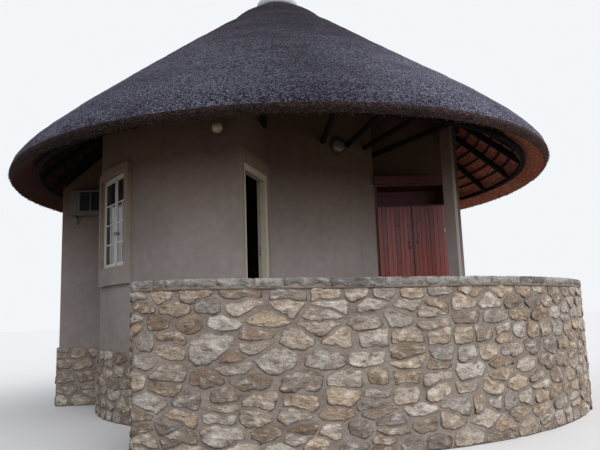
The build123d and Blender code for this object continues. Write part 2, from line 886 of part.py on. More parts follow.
# Hinges: barrels beside the cupboard doors and the entry door, each on its plate
barrel_radius = hinge_offset - seat_gap
with BuildPart() as hinges:
    for hinge_x, direction in ((hinge_left_x, 1), (hinge_right_x, -1)):
        barrel_x = hinge_x - direction * hinge_offset
        barrel_y = door_back_y - cupboard_door_thickness / 2
        for level in (cupboard_bottom + cupboard_hinge_low, cupboard_top - cupboard_hinge_high):
            with BuildSketch(Plane.XY.offset(level)):
                with Locations((barrel_x, barrel_y)):
                    Circle(barrel_radius)
                with Locations((barrel_x - direction * cupboard_plate_offset, cupboard_front_y)):
                    Rectangle(
                        cupboard_plate_width, cupboard_front_y - barrel_y, align=(Align.CENTER, Align.MAX)
                    )
            extrude(amount=cupboard_hinge_length)
    for level in (hinge_inset, leaf_height - hinge_inset - hinge_length):
        with BuildSketch(upright(hinge, door_way).offset(floor_level + level)):
            with Locations((-leaf_clearance / 2, hinge_offset)):
                Circle(barrel_radius)
            with Locations((-leaf_clearance, 0)):
                Rectangle(hinge_plate, hinge_offset, align=(Align.MAX, Align.MIN))
        extrude(amount=hinge_length)
save(hinges, "hinges")

# Lamps
lamp_point = door_wall_end + back_way * lamp_along
lamp_plane = Plane(
    origin=(lamp_point.X, lamp_point.Y, lamp_height),
    x_dir=(back_way.X, back_way.Y, 0),
    z_dir=(back_out.X, back_out.Y, 0),
)
with BuildPart() as porch_lamp:
    with BuildSketch(lamp_plane):
        Circle(lamp_diameter / 2)
    extrude(amount=lamp_depth)
    with BuildSketch(lamp_plane.offset(lamp_depth)):
        Circle(lamp_diameter / 2 - lamp_rim)
    extrude(amount=lamp_depth, taper=lamp_taper)
save(porch_lamp, "porch_lamp")

# Globe lamp, drawn as half its outline and turned about the line that leaves the wall
globe_out = place(1, globe_bearing)
globe_foot = globe_out * wall_radius
globe_plane = Plane(
    origin=(globe_foot.X, globe_foot.Y, globe_height), x_dir=(globe_out.X, globe_out.Y, 0), z_dir=(0, 0, 1)
)
globe_radius = globe_diameter / 2
globe_centre = globe_base_depth + globe_radius
globe_start = degrees(acos(globe_base_radius / globe_radius))
with BuildPart() as globe_lamp:
    with BuildSketch(globe_plane):
        with BuildLine():
            turns = [radians((90 + globe_start) * (1 - i / globe_steps)) for i in range(globe_steps + 1)]
            rim = [(globe_centre + globe_radius * cos(turn), globe_radius * sin(turn)) for turn in turns]
            Polyline((0, 0), (0, globe_base_radius), *rim, close=True)
        make_face()
    revolve(axis=Axis(origin=globe_plane.origin, direction=globe_plane.x_dir))
save(globe_lamp, "globe_lamp")
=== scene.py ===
import math
import random

import bmesh
import bpy
from mathutils import Matrix, Vector, noise


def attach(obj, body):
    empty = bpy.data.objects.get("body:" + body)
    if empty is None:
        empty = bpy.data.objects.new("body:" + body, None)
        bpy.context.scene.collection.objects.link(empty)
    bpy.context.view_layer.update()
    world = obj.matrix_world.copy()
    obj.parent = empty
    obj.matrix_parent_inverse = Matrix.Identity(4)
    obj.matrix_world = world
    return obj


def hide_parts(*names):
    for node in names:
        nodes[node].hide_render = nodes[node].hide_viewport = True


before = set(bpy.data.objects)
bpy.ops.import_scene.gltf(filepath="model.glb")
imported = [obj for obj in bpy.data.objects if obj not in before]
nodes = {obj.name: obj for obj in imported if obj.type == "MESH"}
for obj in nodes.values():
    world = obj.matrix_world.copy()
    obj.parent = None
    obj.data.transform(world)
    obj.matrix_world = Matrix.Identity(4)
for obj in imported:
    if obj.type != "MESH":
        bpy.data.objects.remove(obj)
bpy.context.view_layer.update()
print("frame loaded,", len(nodes), "nodes")

# plan and levels of the hut, in metres; bearings are degrees round the roof's axis, 0 towards the porch
hut = {
    "wallRadius": 3.1,
    "bayRadius": 3.91,
    "bayStart": -150.45,
    "bayEnd": -89.55,
    "plasterBase": 0.97,
    "porchLevel": 1.135,
    "floorLevel": 1.285,
    "pitch": math.radians(40.4),
    "eaveRadius": 4.5,
    "eaveHeight": 3.61,
    "thatch": 0.177,
    "doorAxis": (-0.662492, -2.815975),
    "doorCorner": -11.0,
    "doorWall": 1.14,
    "doorHeading": 17.8,
    "doorOpen": 68.0,
    "backTurn": 31.2,
    "recessFront": -0.4,
}
seam = 0.004  # clearance between pieces that meet


def place(radius, bearing, height=0.0):
    angle = math.radians(bearing)
    return Vector((radius * math.sin(angle), -radius * math.cos(angle), height))


def heading(angle):
    return Vector((math.sin(math.radians(angle)), math.cos(math.radians(angle)), 0))


def fromColumns(x, y, z, origin):
    matrix = Matrix.Identity(4)
    for column, vector in enumerate((x, y, z, origin)):
        for row in range(3):
            matrix[row][column] = vector[row]
    return matrix


def upright(origin, along, height=0.0):
    # X along a plan direction, Y square to it, Z up
    across = Vector((-along.y, along.x, 0))
    return fromColumns(along, across, Vector((0, 0, 1)), Vector((origin.x, origin.y, height)))


def facing(origin, along, outward, height):
    # X along a wall, Y up, Z out of it
    return fromColumns(along, Vector((0, 0, 1)), outward, Vector((origin.x, origin.y, height)))


def porchLines():
    # plan corner between the doorway wall and the back wall, the back wall's direction and its outward normal
    corner = place(hut["wallRadius"], hut["doorCorner"]) + heading(hut["doorHeading"]) * hut["doorWall"]
    along = heading(90 - hut["backTurn"])
    return corner, along, Vector((along.y, -along.x, 0))


def undersideHeight(radius):
    foot = hut["eaveRadius"] - hut["thatch"] * math.sin(hut["pitch"])
    level = hut["eaveHeight"] - hut["thatch"] * math.cos(hut["pitch"])
    return level + (foot - radius) * math.tan(hut["pitch"])


class Value:
    # one socket, so that sums on it read as plain arithmetic
    def __init__(self, writer, socket):
        self.writer = writer
        self.socket = socket

    def maths(self, operation, first, second):
        return self.writer.node("ShaderNodeMath", {"operation": operation}, {0: first, 1: second})

    def __add__(self, other):
        return self.maths("ADD", self, other)

    def __radd__(self, other):
        return self.maths("ADD", other, self)

    def __sub__(self, other):
        return self.maths("SUBTRACT", self, other)

    def __rsub__(self, other):
        return self.maths("SUBTRACT", other, self)

    def __mul__(self, other):
        return self.maths("MULTIPLY", self, other)

    def __rmul__(self, other):
        return self.maths("MULTIPLY", other, self)

    def __truediv__(self, other):
        return self.maths("DIVIDE", self, other)

    def __rtruediv__(self, other):
        return self.maths("DIVIDE", other, self)


class Writer:
    # makes the nodes of one tree
    def __init__(self, tree):
        self.tree = tree

    def node(self, kind, settings=None, inputs=None, output=0):
        made = self.tree.nodes.new(kind)
        for name, value in (settings or {}).items():
            setattr(made, name, value)
        for key, value in (inputs or {}).items():
            self.feed(made.inputs[key], value)
        return Value(self, made.outputs[output])

    def sibling(self, value, output):
        # another output of the node that a value comes from
        return Value(self, value.socket.node.outputs[output])

    def feed(self, socket, value):
        if isinstance(value, Value):
            self.tree.links.new(value.socket, socket)
        elif isinstance(value, tuple) and len(value) == 3 and socket.type == "RGBA":
            socket.default_value = (*value, 1)
        else:
            socket.default_value = value


class Finish(Writer):
    # a surface finish on the standard shader
    def __init__(self, name, **constants):
        self.material = bpy.data.materials.new(name)
        self.material.use_nodes = True
        super().__init__(self.material.node_tree)
        self.shader = self.tree.nodes["Principled BSDF"]
        for key, value in constants.items():
            socket = self.shader.inputs[key.replace("_", " ")]
            socket.default_value = (*value, 1) if isinstance(value, tuple) and len(value) == 3 else value

    def coords(self, scale=(1, 1, 1)):
        spot = self.node("ShaderNodeTexCoord", output="Object")
        if scale == (1, 1, 1):
            return spot
        return self.node("ShaderNodeMapping", None, {"Vector": spot, "Scale": scale})

    def noise(self, vector, scale, detail=3.0, roughness=0.55):
        inputs = {"Vector": vector, "Scale": scale, "Detail": detail, "Roughness": roughness}
        return self.node("ShaderNodeTexNoise", None, inputs, "Fac")

    def cells(self, vector, scale, output="Distance"):
        return self.node("ShaderNodeTexVoronoi", {"feature": "F1"}, {"Vector": vector, "Scale": scale}, output)

    def fade(self, value, low, high, outLow=0.0, outHigh=1.0):
        inputs = {"Value": value, "From Min": low, "From Max": high, "To Min": outLow, "To Max": outHigh}
        return self.node("ShaderNodeMapRange", {"clamp": True}, inputs, "Result")

    def mix(self, factor, first, second, blend="MIX"):
        # sockets 6 and 7 and output 2 are the Mix node's colours
        settings = {"data_type": "RGBA", "blend_type": blend}
        return self.node("ShaderNodeMix", settings, {0: factor, 6: first, 7: second}, 2)

    def along(self, spot, axis="Z"):
        return self.node("ShaderNodeSeparateXYZ", None, {"Vector": spot}, axis)

    def colour(self, value):
        self.feed(self.shader.inputs["Base Color"], value)

    def rough(self, value):
        self.feed(self.shader.inputs["Roughness"], value)

    def bump(self, height, distance=0.01, strength=1.0):
        inputs = {"Height": height, "Distance": distance, "Strength": strength}
        self.feed(self.shader.inputs["Normal"], self.node("ShaderNodeBump", None, inputs, "Normal"))


class Layout(Writer):
    # a Geometry Nodes tree with named sizes
    def __init__(self, name, sizes):
        tree = bpy.data.node_groups.new(name, "GeometryNodeTree")
        super().__init__(tree)
        tree.interface.new_socket("Geometry", in_out="INPUT", socket_type="NodeSocketGeometry")
        tree.interface.new_socket("Geometry", in_out="OUTPUT", socket_type="NodeSocketGeometry")
        self.sizes = {}
        kinds = {int: "NodeSocketInt", float: "NodeSocketFloat", tuple: "NodeSocketVector"}
        for key, value in sizes.items():
            made = tree.interface.new_socket(key, in_out="INPUT", socket_type=kinds[type(value)])
            self.sizes[key] = (made.identifier, value)
        self.start = tree.nodes.new("NodeGroupInput")
        self.end = tree.nodes.new("NodeGroupOutput")

    def size(self, key):
        return Value(self, self.start.outputs[key])

    def carrier(self):
        return Value(self, self.start.outputs["Geometry"])

    def vector(self, **parts):
        return self.node("ShaderNodeCombineXYZ", None, parts)

    def instances(self, points, shape, **more):
        return self.node("GeometryNodeInstanceOnPoints", None, {"Points": points, "Instance": shape, **more})

    def finishAs(self, geometry, material, smooth=True):
        whole = self.node("GeometryNodeRealizeInstances", None, {"Geometry": geometry})
        inputs = {"Geometry": whole, "Shade Smooth": smooth}
        soft = self.node("GeometryNodeSetShadeSmooth", None, inputs)
        done = self.node("GeometryNodeSetMaterial", None, {"Geometry": soft, "Material": material})
        self.tree.links.new(done.socket, self.end.inputs["Geometry"])

    def grow(self, name, carrier=None):
        # runs the tree on a carrier mesh and keeps the result as a plain mesh
        holder = bpy.data.objects.new(name + ".layout", carrier or bpy.data.meshes.new(name))
        bpy.context.scene.collection.objects.link(holder)
        modifier = holder.modifiers.new("layout", "NODES")
        modifier.node_group = self.tree
        for identifier, value in self.sizes.values():
            modifier[identifier] = value
        evaluated = holder.evaluated_get(bpy.context.evaluated_depsgraph_get())
        mesh = bpy.data.meshes.new_from_object(evaluated)
        holder.modifiers.remove(modifier)
        bpy.data.objects.remove(holder)
        mesh.name = name
        return mesh


def addPiece(name, mesh, body="hut", material=None, replaces=()):
    piece = bpy.data.objects.new(name, mesh)
    bpy.context.scene.collection.objects.link(piece)
    if material:
        mesh.materials.clear()
        mesh.materials.append(material)
    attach(piece, body)
    if replaces:
        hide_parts(*replaces)


def meshFrom(work, name, smooth=False, mendNormals=True):
    if mendNormals:
        bmesh.ops.recalc_face_normals(work, faces=work.faces)
    mesh = bpy.data.meshes.new(name)
    work.to_mesh(mesh)
    work.free()
    for polygon in mesh.polygons:
        polygon.use_smooth = smooth
    return mesh


def addBlock(work, size, matrix, bevel, segments=2):
    # one bevelled block, centred on the matrix
    made = bmesh.ops.create_cube(work, size=1.0)
    bmesh.ops.scale(work, vec=Vector(size), verts=made["verts"])
    edges = list({edge for vertex in made["verts"] for edge in vertex.link_edges})
    width = min(bevel, 0.45 * min(size))
    if width > 0:
        done = bmesh.ops.bevel(work, geom=edges, offset=width, segments=segments, affect="EDGES", profile=0.6)
        vertices = list({vertex for face in done["faces"] for vertex in face.verts})
    else:
        vertices = made["verts"]
    bmesh.ops.transform(work, matrix=matrix, verts=vertices)


def addBlocks(name, blocks, material, body="hut", replaces=()):
    # a piece of bevelled blocks, each given as size, matrix and what addBlock takes after them
    work = bmesh.new()
    for block in blocks:
        addBlock(work, *block)
    addPiece(name, meshFrom(work, name), body, material, replaces)


def bridge(work, first, second):
    # quads round two rings of as many points
    made = []
    for i in range(len(first)):
        j = (i + 1) % len(first)
        made.append(work.faces.new((first[i], first[j], second[j], second[i])))
    return made


def fan(work, ring, tip, tipLast=True):
    # triangles between a ring and one point
    made = []
    for i in range(len(ring)):
        j = (i + 1) % len(ring)
        made.append(work.faces.new((ring[i], ring[j], tip) if tipLast else (tip, ring[i], ring[j])))
    return made


def addTurned(work, profile, matrix, segments):
    # a turned shape from (radius, height) points, closed at both ends
    rings = []
    for radius, height in profile:
        if radius < 1e-6:
            rings.append([work.verts.new(matrix @ Vector((0, 0, height)))])
            continue
        ring = []
        for i in range(segments):
            angle = 2 * math.pi * i / segments
            ring.append(work.verts.new(matrix @ Vector((radius * math.cos(angle), radius * math.sin(angle), height))))
        rings.append(ring)
    for lower, upper in zip(rings, rings[1:]):
        if len(lower) == len(upper):
            bridge(work, lower, upper)
        elif len(lower) == 1:
            fan(work, upper, lower[0], False)
        else:
            fan(work, lower, upper[0])
    for ring in (rings[0], rings[-1]):
        if len(ring) > 1:
            work.faces.new(ring)


def addTurnedPiece(name, profile, matrix, segments, material, body="hut", replaces=()):
    work = bmesh.new()
    addTurned(work, profile, matrix, segments)
    addPiece(name, meshFrom(work, name, True), body, material, replaces)


def plasterFinish(name, tint, dark, roofShadeColour):
    # trowelled plaster, with painted shade that darkens and warms it towards the roof
    finish = Finish(name, Roughness=0.9, Specular_IOR_Level=0.2)
    spot = finish.coords()
    height = finish.along(spot)
    clouds = finish.noise(spot, 0.9, 5.0)
    trowel = finish.noise(spot, 9.0, 4.0)
    grit = finish.noise(spot, 160.0, 3.0, 0.7)
    tone = finish.fade(clouds * 0.7 + trowel * 0.3, 0.36, 0.66)
    colour = finish.mix(tone, dark, tint)
    streaks = finish.fade(finish.noise(finish.coords((5, 5, 0.5)), 1.0, 4.0), 0.55, 0.75)
    colour = finish.mix(streaks * 0.22, colour, (0.16, 0.13, 0.11))
    # painted shade: darker and warmer towards the roof, where the eave shades the wall
    roofShade = finish.fade(height + clouds * 0.9, 2.6, 4.6)
    colour = finish.mix(roofShade, colour, roofShadeColour, "MULTIPLY")
    finish.colour(colour)
    finish.rough(finish.fade(grit, 0.3, 0.7, 0.84, 0.96))
    finish.bump(trowel * 0.6 + grit * 0.12 + clouds * 0.8, 0.006, 0.6)
    return finish.material


def thatchFinish(name, dark, light, patch, scale, sides, depth=0.014, weathered=False):
    # sides: painted light and shade, how much lighter or darker the left, the middle and the right are drawn
    finish = Finish(name, Roughness=0.95, Specular_IOR_Level=0.12)
    spot = finish.coords()
    ends = finish.cells(spot, scale)
    shade = finish.cells(spot, scale, output="Color")
    grain = finish.noise(spot, scale * 0.9, 3.0, 0.7)
    clouds = finish.noise(spot, 0.55, 4.0)
    drift = finish.noise(finish.coords((1, 1, 3.5)), 1.4, 5.0)
    single = finish.node("ShaderNodeSeparateColor", None, {"Color": shade}, "Red")
    tone = finish.fade(single * 0.5 + grain * 0.9 - ends * 0.55, 0.3, 0.78)
    colour = finish.mix(tone, dark, light)
    blotch = finish.fade(clouds * 0.6 + drift * 0.4, 0.4, 0.62, 0.0, 0.75)
    colour = finish.mix(blotch, colour, patch, "MULTIPLY")
    if weathered:
        height = finish.along(spot)
        crown = finish.fade(height + drift * 1.4, 5.4, 7.0)
        colour = finish.mix(crown, colour, (0.56, 0.46, 0.5), "MULTIPLY")
    # painted light and shade: the colour is scaled by how far left or right the point lies
    across = finish.along(spot, "X")
    left, middle, right = sides
    sideLight = finish.fade(across, -4.0, 0.2, left - middle, 0.0) + finish.fade(across, 0.2, 3.6, middle, right)
    finish.colour(finish.node("ShaderNodeVectorMath", {"operation": "SCALE"}, {0: colour, "Scale": sideLight}))
    finish.bump(grain * 0.6 + single * 0.5 - ends * 0.8, depth, 1.0)
    return finish.material


def reedFinish(name, dark, light):
    # the cut ends of reeds
    finish = Finish(name, Roughness=0.85, Specular_IOR_Level=0.2)
    spot = finish.coords()
    tone = finish.noise(spot, 35.0, 3.0)
    finish.colour(finish.mix(finish.fade(tone, 0.32, 0.68), dark, light))
    finish.bump(finish.noise(spot, 220.0, 2.0), 0.003, 0.6)
    return finish.material


# the third value is painted shade at the rims, lower sides and hollows of the stones
stoneAttributes = ("stoneTone", "stoneWarm", "stoneShade")  # one value each per point of a stone


def stoneFinish(name, grey=0.0, tint=None):
    # split field stone: cream to tan, lumpy and stained, with painted shade in its hollows, pits and lower rims and
    # painted highlights on its lumps
    finish = Finish(name, Roughness=0.9, Specular_IOR_Level=0.2)
    spot = finish.coords()
    tone, warm, worn = (
        finish.node("ShaderNodeAttribute", {"attribute_name": key}, None, "Fac") for key in stoneAttributes
    )
    cloud = finish.noise(spot, 5.5, 4.0, 0.5)
    lumps = finish.noise(finish.coords((1, 1, 1.6)), 9.0, 4.0, 0.58)
    crease = finish.node("ShaderNodeMath", {"operation": "ABSOLUTE"}, {0: lumps - 0.5}) * 2.0
    pits = finish.noise(spot, 70.0, 3.0, 0.6)
    pale = finish.mix(tone, (0.27, 0.24, 0.21), (0.69, 0.63, 0.555))
    tan = finish.mix(tone, (0.26, 0.185, 0.125), (0.64, 0.5, 0.36))
    colour = finish.mix(finish.fade(warm * 0.6 + cloud * 0.75 - grey, 0.36, 0.9), pale, tan)
    stain = finish.fade(finish.noise(spot, 9.0, 4.0), 0.54, 0.74)
    colour = finish.mix(stain * 0.5, colour, (0.32, 0.18, 0.105))
    # painted shade in the hollows between the lumps
    colour = finish.mix(finish.fade(lumps, 0.3, 0.47, 0.85, 0.0), colour, (0.13, 0.1, 0.08))
    colour = finish.mix(finish.fade(crease, 0.0, 0.08, 0.45, 0.0), colour, (0.12, 0.09, 0.075))
    # painted highlight on the raised lumps
    colour = finish.mix(finish.fade(lumps, 0.54, 0.7, 0.0, 0.65), colour, (0.76, 0.72, 0.67))
    # painted shade in the pits
    colour = finish.mix(finish.fade(pits, 0.26, 0.4, 0.45, 0.0), colour, (0.14, 0.115, 0.095))
    # painted shade from the third point value: darker at each stone's rim, lower side and hollows
    colour = finish.mix(finish.fade(worn + lumps * 0.3, 0.2, 1.05, 0.0, 0.85), colour, (0.075, 0.055, 0.045))
    if tint:
        colour = finish.mix(1.0, colour, tint, "MULTIPLY")
    finish.colour(colour)
    finish.bump(lumps * 1.0 + cloud * 0.5 + pits * 0.12, 0.045, 1.0)
    return finish.material


def mortarFinish(name, dark, light):
    finish = Finish(name, Roughness=0.95, Specular_IOR_Level=0.15)
    spot = finish.coords()
    cloud = finish.noise(spot, 4.0, 5.0)
    smear = finish.noise(finish.coords((1, 1, 2)), 16.0, 4.0, 0.6)
    grit = finish.noise(spot, 120.0, 3.0, 0.75)
    finish.colour(finish.mix(finish.fade(cloud * 0.5 + smear * 0.3 + grit * 0.2, 0.36, 0.62), dark, light))
    finish.bump(cloud * 0.6 + smear * 0.8 + grit * 0.3, 0.016, 0.9)
    return finish.material


def slabFinish(name, dark, light):
    # cast cement and screed
    finish = Finish(name, Roughness=0.85, Specular_IOR_Level=0.25)
    spot = finish.coords()
    cloud = finish.noise(spot, 3.0, 6.0, 0.6)
    grit = finish.noise(spot, 90.0, 4.0, 0.7)
    colour = finish.mix(finish.fade(cloud, 0.35, 0.65), dark, light)
    colour = finish.mix(finish.fade(grit, 0.28, 0.42, 0.4, 0.0), colour, (0.1, 0.095, 0.085))
    finish.colour(colour)
    finish.bump(cloud * 0.8 + grit * 0.3, 0.006, 0.8)
    return finish.material


def woodFinish(name, dark, light, grain, knots=0.0, roughness=0.5, board=0.0, sheen=0.35, start=0.0, stile=0.0):
    # board and start: where the boards of one front begin and how wide they are; stile: the dark strip between leaves,
    # and when it is given the boards also get a painted sheen, warmer low and bluer high
    finish = Finish(name, Specular_IOR_Level=sheen)
    long = finish.coords(grain)
    spot = finish.coords()
    wave = finish.noise(long, 4.0, 6.0, 0.6)
    lines = finish.noise(finish.coords(tuple(v * 4 for v in grain)), 9.0, 4.0, 0.6)
    tone = wave * 0.65 + lines * 0.35
    if board:
        across = finish.along(spot, "X")
        index = finish.node("ShaderNodeMath", {"operation": "FLOOR"}, {0: (across - start) / board})
        each = finish.node("ShaderNodeTexWhiteNoise", {"noise_dimensions": "1D"}, {"W": index}, "Value")
        tone = tone * 0.55 + (each - 0.5) * 0.2 + 0.225
    colour = finish.mix(finish.fade(tone, 0.32, 0.68), dark, light)
    height = lines * 0.6 + wave * 0.4
    if knots:
        ring = finish.cells(finish.coords((1, 1, 0.75)), 6.5)
        eye = finish.fade(ring, 0.02, knots, 1.0, 0.0)
        colour = finish.mix(eye * 0.9, colour, (0.035, 0.014, 0.008))
        height = height + eye * 0.5
    if stile:
        off = finish.node("ShaderNodeMath", {"operation": "ABSOLUTE"}, {0: across - stile})
        colour = finish.mix(finish.fade(off, 0.03, 0.045, 0.55, 0.0), colour, (0.05, 0.012, 0.01))
        # painted sheen: the boards are drawn warmer towards the foot and bluer towards the top
        level = finish.along(spot)
        colour = finish.mix(finish.fade(level, 2.0, 2.5, 0.8, 0.0), colour, (1.2, 0.82, 0.62), "MULTIPLY")
        colour = finish.mix(finish.fade(level, 2.4, 3.1, 0.0, 0.8), colour, (0.86, 0.95, 1.25), "MULTIPLY")
    finish.colour(colour)
    finish.rough(finish.fade(lines, 0.3, 0.7, roughness - 0.08, roughness + 0.12))
    finish.bump(height, 0.003, 0.6)
    return finish.material


def paintFinish(name, tint, worn):
    # brushed paint with worn spots
    finish = Finish(name, Specular_IOR_Level=0.4)
    spot = finish.coords()
    brush = finish.noise(finish.coords((60, 60, 6)), 3.0, 3.0)
    wear = finish.noise(spot, 11.0, 5.0, 0.65)
    colour = finish.mix(finish.fade(wear, 0.6, 0.72, 0.0, 0.7), tint, worn)
    finish.colour(finish.mix(finish.fade(brush, 0.3, 0.7, 0.0, 0.18), colour, worn))
    finish.rough(finish.fade(wear, 0.4, 0.7, 0.45, 0.65))
    finish.bump(brush * 0.5 + wear * 0.3, 0.001, 0.5)
    return finish.material


def metalFinish(name, tint, dull, roughness, metallic=1.0):
    finish = Finish(name, Metallic=metallic)
    spot = finish.coords()
    wear = finish.noise(spot, 26.0, 5.0, 0.65)
    finish.colour(finish.mix(finish.fade(wear, 0.42, 0.66), tint, dull))
    finish.rough(finish.fade(wear, 0.35, 0.65, roughness, roughness + 0.25))
    finish.bump(finish.noise(spot, 260.0, 2.0), 0.0006, 0.5)
    return finish.material


def plasticFinish(name, tint, grime, roughness=0.4):
    finish = Finish(name, Specular_IOR_Level=0.45)
    spot = finish.coords()
    dirt = finish.noise(spot, 7.0, 5.0, 0.6)
    finish.colour(finish.mix(finish.fade(dirt, 0.5, 0.72, 0.0, 0.6), tint, grime))
    finish.rough(finish.fade(dirt, 0.4, 0.7, roughness, roughness + 0.2))
    finish.bump(finish.noise(spot, 400.0, 2.0), 0.0004, 0.4)
    return finish.material


def glassFinish(name):
    finish = Finish(name, Base_Color=(0.03, 0.035, 0.04), Specular_IOR_Level=0.4)
    spot = finish.coords()
    dust = finish.noise(spot, 3.0, 4.0)
    finish.colour(finish.mix(finish.fade(dust, 0.4, 0.7, 0.0, 0.35), (0.02, 0.022, 0.026), (0.09, 0.085, 0.08)))
    finish.rough(finish.fade(dust, 0.35, 0.7, 0.06, 0.22))
    finish.bump(finish.noise(spot, 1.2, 2.0), 0.004, 0.3)
    return finish.material


# the last colour of each plaster is the painted shade that it gets towards the roof
plaster = plasterFinish("plaster", (0.366, 0.325, 0.305), (0.26, 0.224, 0.202), (0.56, 0.405, 0.3))
trimPlaster = plasterFinish("trimPlaster", (0.372, 0.329, 0.298), (0.268, 0.23, 0.202), (0.95, 0.72, 0.48))
roofTop = thatchFinish(
    "thatchWeathered", (0.016, 0.015, 0.022), (0.19, 0.182, 0.24), (0.45, 0.43, 0.47), 62.0, (1.9, 0.72, 2.6),
    0.011, True,
)
roofEdge = thatchFinish(
    "thatchCut", (0.02, 0.013, 0.012), (0.085, 0.056, 0.052), (0.6, 0.56, 0.54), 60.0, (0.8, 1.0, 2.5)
)
roofInside = thatchFinish(
    "thatchInside", (0.26, 0.09, 0.06), (0.68, 0.275, 0.18), (0.66, 0.58, 0.55), 45.0, (0.25, 0.75, 1.85)
)
cutReed = reedFinish("reedCut", (0.014, 0.01, 0.009), (0.1, 0.07, 0.06))
darkPole = woodFinish("poleTimber", (0.006, 0.005, 0.005), (0.024, 0.017, 0.016), (6, 6, 2), roughness=0.85, sheen=0.1)
lath = woodFinish("lathTimber", (0.004, 0.0025, 0.003), (0.013, 0.008, 0.008), (8, 8, 8), roughness=0.9, sheen=0.05)
rubbleStone = stoneFinish("rubbleStone")
mortar = mortarFinish("mortar", (0.2, 0.163, 0.135), (0.385, 0.325, 0.275))
copingStone = stoneFinish("copingStone", 0.44, (0.69, 0.715, 0.745))
cement = slabFinish("cementCap", (0.42, 0.43, 0.44), (0.62, 0.63, 0.64))
screed = slabFinish("floorScreed", (0.2, 0.17, 0.14), (0.3, 0.26, 0.22))
cupboardWood = woodFinish(
    "cupboardBoards", (0.105, 0.022, 0.02), (0.31, 0.085, 0.072), (20, 20, 0.6), knots=0.19, roughness=0.4, board=0.07,
    start=1.53, stile=2.093,
)
shelfWood = woodFinish("shelfTimber", (0.04, 0.009, 0.008), (0.115, 0.028, 0.022), (1.0, 9, 9))
doorWood = woodFinish("doorBoards", (0.1, 0.045, 0.025), (0.24, 0.12, 0.07), (9, 9, 1.0))
whitePaint = paintFinish("whitePaint", (0.66, 0.64, 0.6), (0.38, 0.35, 0.3))
creamPaint = paintFinish("creamPaint", (0.62, 0.56, 0.44), (0.34, 0.29, 0.21))
glass = glassFinish("windowGlass")
blackMetal = metalFinish("blackMetal", (0.03, 0.03, 0.03), (0.08, 0.06, 0.05), 0.45, 0.8)
brightMetal = metalFinish("brightMetal", (0.6, 0.59, 0.56), (0.32, 0.3, 0.27), 0.32)
palePlastic = plasticFinish("paleCasing", (0.12, 0.11, 0.1), (0.06, 0.052, 0.046))
darkPlastic = plasticFinish("darkGrille", (0.007, 0.006, 0.006), (0.02, 0.017, 0.015), 0.8)
lampGlass = plasticFinish("opalGlass", (0.66, 0.58, 0.38), (0.42, 0.35, 0.22), 0.2)
dullGlass = plasticFinish("dullGlass", (0.2, 0.165, 0.135), (0.11, 0.09, 0.072), 0.3)
dullMetal = metalFinish("dullMetal", (0.06, 0.045, 0.035), (0.1, 0.075, 0.06), 0.5, 0.6)

nodeFinishes = {
    plaster: (
        "front_wall left_wall rear_wall right_wall front_window_wall rear_window_wall bay_side_wall "
        "bay_front_wall bay_rear_wall door_wall door_lintel porch_back_wall recess_wall pillar counter_base"
    ),
    trimPlaster: "front_window_surround rear_window_surround door_surround",
    mortar: "foundation",
    screed: "porch_base porch_floor floor_slab counter_top",
    darkPole: "crown_ring porch_beam",
    shelfWood: "cupboard top_shelf",
    creamPaint: "door_frame",
    glass: "front_window_glass rear_window_glass",
    brightMetal: "door_handle",
    dullMetal: "hinges",
    palePlastic: "cooling_shelf",
}
for finish, names in nodeFinishes.items():
    for name in names.split():
        nodes[name].data.materials.clear()
        nodes[name].data.materials.append(finish)
print("finishes made,", len(bpy.data.materials))


thatchCoat = {
    "segments": 560,
    "slopeSteps": 96,
    "swell": (
        (4.5, 0.0), (4.44, 0.045), (4.3, 0.115), (4.1, 0.135), (3.6, 0.15), (2.8, 0.125), (2.0, 0.085),
        (1.3, 0.04), (1.05, 0.0), (0.95, 0.004), (0.82, 0.042), (0.65, 0.012), (0.5, -0.03), (0.4, -0.025),
        (0.3, -0.08), (0.1, -0.19),
    ),
    "smoothReach": 0.09,
    "crownStop": 0.06,
    "innerRadius": 0.3,
    "insideSteps": 30,
    "insideGap": 0.012,
    "edgeRound": 0.085,
    "edgeSteps": 5,
    "cutSteps": 6,
    "cutGap": 0.03,
    "sink": 0.012,
    "fineSink": 0.005,
    "crumbSink": 0.004,
    "insideSink": 0.006,
    "courseLength": 0.46,
    "courseStep": 0.004,
    "undersideLift": 0.024,
    "liftHeight": 0.085,
    "liftBearing": 62.0,
    "liftSpread": 44.0,
    "outerLift": (2.2, 4.3),
    "innerLift": (4.06, 4.36),
    "seed": 4.7,
}


def smooth(value, low, high):
    share = min(1.0, max(0.0, (value - low) / (high - low)))
    return share * share * (3 - 2 * share)


def eaveLift(radius, bearing, rising):
    # the eave stands a little higher on the right of the porch; rising: the radii between which that grows
    apart = (bearing - thatchCoat["liftBearing"] + 180) % 360 - 180
    share = math.exp(-((apart / thatchCoat["liftSpread"]) ** 2))
    return thatchCoat["liftHeight"] * share * smooth(radius, *rising)


def outsideHeight(radius):
    # the outer cone with its swell and the mound at its crown
    base = hut["eaveHeight"] + (hut["eaveRadius"] - radius) * math.tan(hut["pitch"])
    if radius > hut["eaveRadius"]:
        return base
    table = thatchCoat["swell"]
    for (far, farSwell), (near, nearSwell) in zip(table, table[1:]):
        if radius >= near:
            return base + nearSwell + (farSwell - nearSwell) * (radius - near) / (far - near)
    return hut["eaveHeight"] + (hut["eaveRadius"] - table[-1][0]) * math.tan(hut["pitch"]) + table[-1][1]


def outsideSmooth(radius):
    reach = thatchCoat["smoothReach"]
    return sum(outsideHeight(abs(radius + reach * k / 3)) for k in range(-3, 4)) / 7


